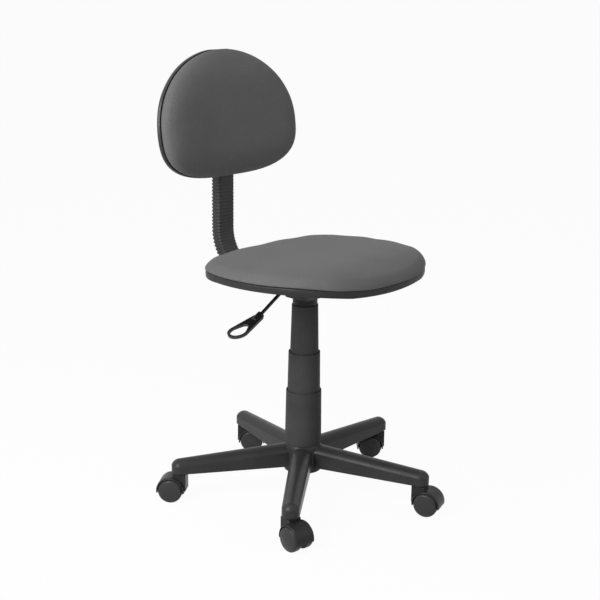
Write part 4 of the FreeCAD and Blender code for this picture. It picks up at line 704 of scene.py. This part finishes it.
SLEEVE_ROUTE = ((0.0, 0.1166, 0.439), (0.0, 0.2360, 0.439), (0.0, 0.2360, 0.64839), (0.0, 0.2420, 0.69105))
SLEEVE_BENDS = (0.088, 0.120)
SLEEVE_SIZES = {"Width": 0.043, "Depth": 0.024, "Corner": 0.005, "Rib Depth": 0.0018, "Front Ribs": 0.25}
PLACES_PER_RIB = 8
PLACES_AROUND = 72
RIBS = 47

sleeve_rubber = moulded("sleeve_rubber", 0.35, colour=grey(0.024), rubbed_colour=grey(0.04), roughness=0.5,
                        grains=1800.0, edge=0.0006)


def vector_sum(tree, operation, first, second):
    """The output of a sum or product of two vectors."""
    return add(tree, "ShaderNodeVectorMath", {0: first, 1: second}, operation=operation).outputs[0]


def scaled(tree, vector, length):
    """A vector made longer or shorter."""
    return add(tree, "ShaderNodeVectorMath", {0: vector, "Scale": length}, operation="SCALE").outputs[0]


def sampled(tree, curve, share):
    """Position and tangent at a share of a curve."""
    sockets = {"Curves": curve, "Factor": share}
    return add(tree, "GeometryNodeSampleCurve", sockets, mode="FACTOR", use_all_curves=True).outputs


sleeve_tree, given, end = tree_with_inputs("ribbed_sleeve", SLEEVE_SIZES)
corner = add(sleeve_tree, "GeometryNodeInputIndex").outputs[0]
first_corner = add(sleeve_tree, "FunctionNodeCompare", {2: corner, 3: 1}, data_type="INT",
                   operation="EQUAL").outputs[0]
bend = add(sleeve_tree, "GeometryNodeSwitch", {"Switch": first_corner, "False": SLEEVE_BENDS[1],
                                               "True": SLEEVE_BENDS[0]}, input_type="FLOAT").outputs[0]
route = add(sleeve_tree, "GeometryNodeFilletCurve", {"Curve": given["Geometry"], "Radius": bend, "Count": 48},
            mode="POLY").outputs[0]
section = add(sleeve_tree, "GeometryNodeCurvePrimitiveQuadrilateral",
              {"Width": given["Width"], "Height": given["Depth"]}, mode="RECTANGLE").outputs[0]
section = add(sleeve_tree, "GeometryNodeFilletCurve",
              {"Curve": section, "Radius": given["Corner"], "Count": 12}, mode="POLY").outputs[0]
grid = add(sleeve_tree, "GeometryNodeMeshGrid", {"Size X": 1.0, "Size Y": 1.0,
                                                 "Vertices X": RIBS * PLACES_PER_RIB + 1,
                                                 "Vertices Y": PLACES_AROUND + 1}).outputs["Mesh"]
spot = add(sleeve_tree, "GeometryNodeInputPosition").outputs[0]
shares = add(sleeve_tree, "ShaderNodeSeparateXYZ", {0: spot}).outputs
along = math_node(sleeve_tree, "ADD", shares["X"], 0.5)
around = math_node(sleeve_tree, "ADD", shares["Y"], 0.5)
on_route = sampled(sleeve_tree, route, along)
on_section = sampled(sleeve_tree, section, around)
place_in_rib = math_node(sleeve_tree, "FRACT", math_node(sleeve_tree, "MULTIPLY", along, float(RIBS)))
from_crest = math_node(sleeve_tree, "ABSOLUTE", math_node(sleeve_tree, "SUBTRACT", place_in_rib, 0.5))
sunk_map = add(sleeve_tree, "ShaderNodeMapRange", {"Value": from_crest, "From Min": 0.16, "From Max": 0.40},
               interpolation_type="SMOOTHSTEP").outputs["Result"]
front_map = add(sleeve_tree, "ShaderNodeMapRange", {
    "Value": add(sleeve_tree, "ShaderNodeSeparateXYZ", {0: on_section["Position"]}).outputs["Y"],
    "From Min": math_node(sleeve_tree, "MULTIPLY", given["Depth"], -0.5),
    "From Max": math_node(sleeve_tree, "MULTIPLY", given["Depth"], -0.25),
    "To Min": given["Front Ribs"], "To Max": 1.0}).outputs["Result"]
rib_depth = math_node(sleeve_tree, "MULTIPLY", given["Rib Depth"], front_map)
sunk = math_node(sleeve_tree, "MULTIPLY", sunk_map, rib_depth)
outwards = vector_sum(sleeve_tree, "CROSS_PRODUCT", on_section["Tangent"], (0.0, 0.0, 1.0))
in_section = vector_sum(sleeve_tree, "ADD", on_section["Position"], scaled(sleeve_tree, outwards, sunk))
flat = add(sleeve_tree, "ShaderNodeSeparateXYZ", {0: in_section}).outputs
rearwards = vector_sum(sleeve_tree, "CROSS_PRODUCT", on_route["Tangent"], (1.0, 0.0, 0.0))
deep = scaled(sleeve_tree, rearwards, flat["Y"])
wide = add(sleeve_tree, "ShaderNodeCombineXYZ", {"X": flat["X"]}).outputs[0]
offset = vector_sum(sleeve_tree, "ADD", deep, wide)
final = vector_sum(sleeve_tree, "ADD", on_route["Position"], offset)
shaped = add(sleeve_tree, "GeometryNodeSetPosition", {"Geometry": grid, "Position": final}).outputs[0]
closed = add(sleeve_tree, "GeometryNodeMergeByDistance",
             {"Geometry": shaped, "Distance": 0.00002}).outputs[0]
smooth = add(sleeve_tree, "GeometryNodeSetShadeSmooth", {"Geometry": closed}).outputs[0]
end_tree(sleeve_tree, smooth, given["Material"], end)

sleeve = grown("ribbed_sleeve", poly_curve("sleeve_route", SLEEVE_ROUTE, False), sleeve_tree, SLEEVE_SIZES,
               sleeve_rubber)
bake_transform(sleeve)
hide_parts("spine_sleeve")

# Back shell: a thin black moulding behind the cushion, screwed to a bracket that slides on the bar.
# The bracket is held by a scalloped knob, which is turned by hand to move the back up or down.

shell_plastic = moulded("shell_plastic", colour=grey(0.018), rubbed_colour=grey(0.05), roughness=0.4,
                        edge=0.002)
knob_plastic = moulded("knob_plastic", colour=grey(0.014), rubbed_colour=grey(0.06), roughness=0.34,
                       edge=0.002)
dress(shell_plastic, "back_shell")
dress(base_nylon, "back_bracket")
dress(zinc_plate, "bracket_screws")
dress(knob_plastic, "back_knob")

# Back cushion: foam on a bent board under the same woven cloth as the seat, tucked behind the shell's rim.
# It is thick in the middle and thins to a soft round edge, and its sides come forward round the sitter.

BACK_PLACE = Matrix.Translation((0.0, 0.2366, 0.741)) @ Matrix.Rotation(math.radians(-8.0), 4, "X")
BACK_HALF_WIDTH = 0.1885
BACK_UP = 0.1565
BACK_DOWN = 0.1025
BACK_FOOT_POWER = 2.95
BACK_WRAP = 0.010
BACK_REAR = -0.0096
BACK_DEPTH = 0.0300
BACK_THINNING = 0.6
BACK_FACE = 0.945
BACK_RINGS = 24
BOARD_DEPTH = 0.0084
BACK_HELD = 0.0090


def back_outline(turn):
    """A place on the back's outline: an ellipse above its widest line, a squarer curve below."""
    angle = 2 * math.pi * turn
    across = math.cos(angle)
    up = math.sin(angle)
    if up >= 0:
        return Vector((BACK_HALF_WIDTH * across, BACK_UP * up))
    power = 2 / BACK_FOOT_POWER
    squarer = math.copysign(abs(across) ** power, across)
    return Vector((BACK_HALF_WIDTH * squarer, -BACK_DOWN * abs(up) ** power))


FINE_PLACES = 2 * OUTLINE_PLACES
back_loop = even_loop([back_outline(place / FINE_PLACES) for place in range(FINE_PLACES)], OUTLINE_PLACES)


def back_spot(turn, scale, height):
    """A point of the back: a share of its outline, a scale about its middle, and a height over its rear.

    The foam over the board thins towards the back's top and foot.
    """
    place = on_loop(back_loop, turn) * scale
    share = abs(place.y) / (BACK_UP if place.y > 0 else BACK_DOWN)
    foam = max(height - BOARD_DEPTH, 0.0)
    wrap = BACK_WRAP * (place.x / BACK_HALF_WIDTH) ** 2
    depth = BACK_REAR - wrap - height + foam * BACK_THINNING * share ** 5
    return BACK_PLACE @ Vector((place.x, depth, place.y))


def back_crown(share):
    """Scale and height of a ring of the back's face, which is flat in the middle and rounds off outwards."""
    scale = BACK_FACE * share ** RING_SPACING
    return scale, BACK_DEPTH * (1 - scale ** 10) ** 0.4


BACK_EDGE = ((0.9580, 0.0197), (0.9690, 0.0176), (0.9790, 0.0152), (0.9855, 0.0128), (0.9890, 0.0104),
             (0.9895, 0.0080), (0.9870, 0.0052), (0.9825, 0.0026), (0.9760, 0.0007), (0.9680, 0.0),
             (0.9570, 0.0), (0.9560, 0.0030), (0.9560, BOARD_DEPTH), (0.9000, BOARD_DEPTH),
             (0.6000, BOARD_DEPTH))

back_cloth = woven("back_cloth", 82.0)
back_pad_mesh = pad_mesh("back_pad", BACK_RINGS, back_crown, BACK_EDGE, back_spot)
back_pad = new_piece("back_pad", back_pad_mesh, back_cloth)
to_back = BACK_PLACE.inverted()


def behind_back(point):
    """Where the back's cover is held: along its rear edge and behind."""
    local = to_back @ point
    wrap = BACK_WRAP * (local.x / BACK_HALF_WIDTH) ** 2
    return BACK_REAR - wrap - local.y < BACK_HELD


swell(back_pad, behind_back)
smoothed(back_pad)
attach(back_pad, "back")
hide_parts("back_cushion")

# Studio: a pale floor in white surroundings, with a strong soft light at the left and weaker ones above
# and at the right. The camera stands at the sitter's front right, a little above the back.

FLOOR_SIZE = 80.0
FLOOR_GREY = 0.82
FLOOR_WHITENESS = 0.96
FILL_LIGHT = 0.15
floor_mesh = bpy.data.meshes.new("floor")
half = FLOOR_SIZE / 2
corners = [(-half, -half, 0), (half, -half, 0), (half, half, 0), (-half, half, 0)]
floor_mesh.from_pydata(corners, [], [(0, 1, 2, 3)])
floor_paint = bpy.data.materials.new("floor_paint")
floor_paint.use_nodes = True
tree = floor_paint.node_tree
tree.nodes.clear()
rays = add(tree, "ShaderNodeLightPath").outputs
shown = math_node(tree, "ADD", rays["Is Camera Ray"], rays["Is Glossy Ray"], clamp=True)
pale = add(tree, "ShaderNodeBsdfDiffuse", {"Color": grey(FLOOR_GREY)}).outputs[0]
white = add(tree, "ShaderNodeEmission", {"Color": grey(1.0), "Strength": 1.0}).outputs[0]
whitened = math_node(tree, "MULTIPLY", shown, FLOOR_WHITENESS)
brightened = add(tree, "ShaderNodeMixShader", {0: whitened, 1: pale, 2: white})
add(tree, "ShaderNodeOutputMaterial", {"Surface": brightened.outputs[0]})
floor = bpy.data.objects.new("floor", floor_mesh)
scene.collection.objects.link(floor)
floor_mesh.materials.append(floor_paint)

world = bpy.data.worlds.new("studio")
scene.world = world
world.use_nodes = True
tree = world.node_tree
tree.nodes.clear()
rays = add(tree, "ShaderNodeLightPath").outputs
shown = math_node(tree, "ADD", rays["Is Camera Ray"], rays["Is Glossy Ray"], clamp=True)
shown = math_node(tree, "ADD", shown, rays["Is Transmission Ray"], clamp=True)
dim = add(tree, "ShaderNodeBackground", {"Color": grey(1.0), "Strength": FILL_LIGHT}).outputs[0]
bright = add(tree, "ShaderNodeBackground", {"Color": grey(1.0), "Strength": 1.0}).outputs[0]
surround = add(tree, "ShaderNodeMixShader", {0: shown, 1: dim, 2: bright}).outputs[0]
add(tree, "ShaderNodeOutputWorld", {"Surface": surround})


CHAIR_MIDDLE = Vector((0.0, 0.0, 0.5))


def soft_light(name, place, size, power):
    """A square soft box that looks at the chair."""
    lamp = bpy.data.lights.new(name, "AREA")
    lamp.size = size
    lamp.energy = power
    holder = bpy.data.objects.new(name, lamp)
    holder.location = place
    holder.rotation_euler = (CHAIR_MIDDLE - Vector(place)).to_track_quat("-Z", "Y").to_euler()
    scene.collection.objects.link(holder)


soft_light("light_above", place=(-0.3, 0.2, 2.6), size=1.8, power=7.0)
soft_light("light_left", place=(-2.1, 0.05, 1.75), size=1.2, power=56.0)
soft_light("light_right", place=(0.9, -2.2, 1.4), size=1.6, power=8.0)

CAMERA_PLACE = Vector((-1.7574, -1.5770, 1.0740))
CAMERA_AIM = Vector((0.71395, 0.64632, -0.26934))
CAMERA_ROLL = math.radians(0.805)
SENSOR_WIDTH = 36.0
FOCAL_LENGTH = 73.05
lens = bpy.data.cameras.new("camera")
lens.sensor_width = SENSOR_WIDTH
lens.lens = FOCAL_LENGTH
camera = bpy.data.objects.new("camera", lens)
camera.location = CAMERA_PLACE
turn = CAMERA_AIM.to_track_quat("-Z", "Y") @ Quaternion((0.0, 0.0, 1.0), CAMERA_ROLL)
camera.rotation_euler = turn.to_euler()
scene.collection.objects.link(camera)
scene.camera = camera
scene.view_settings.view_transform = "Standard"
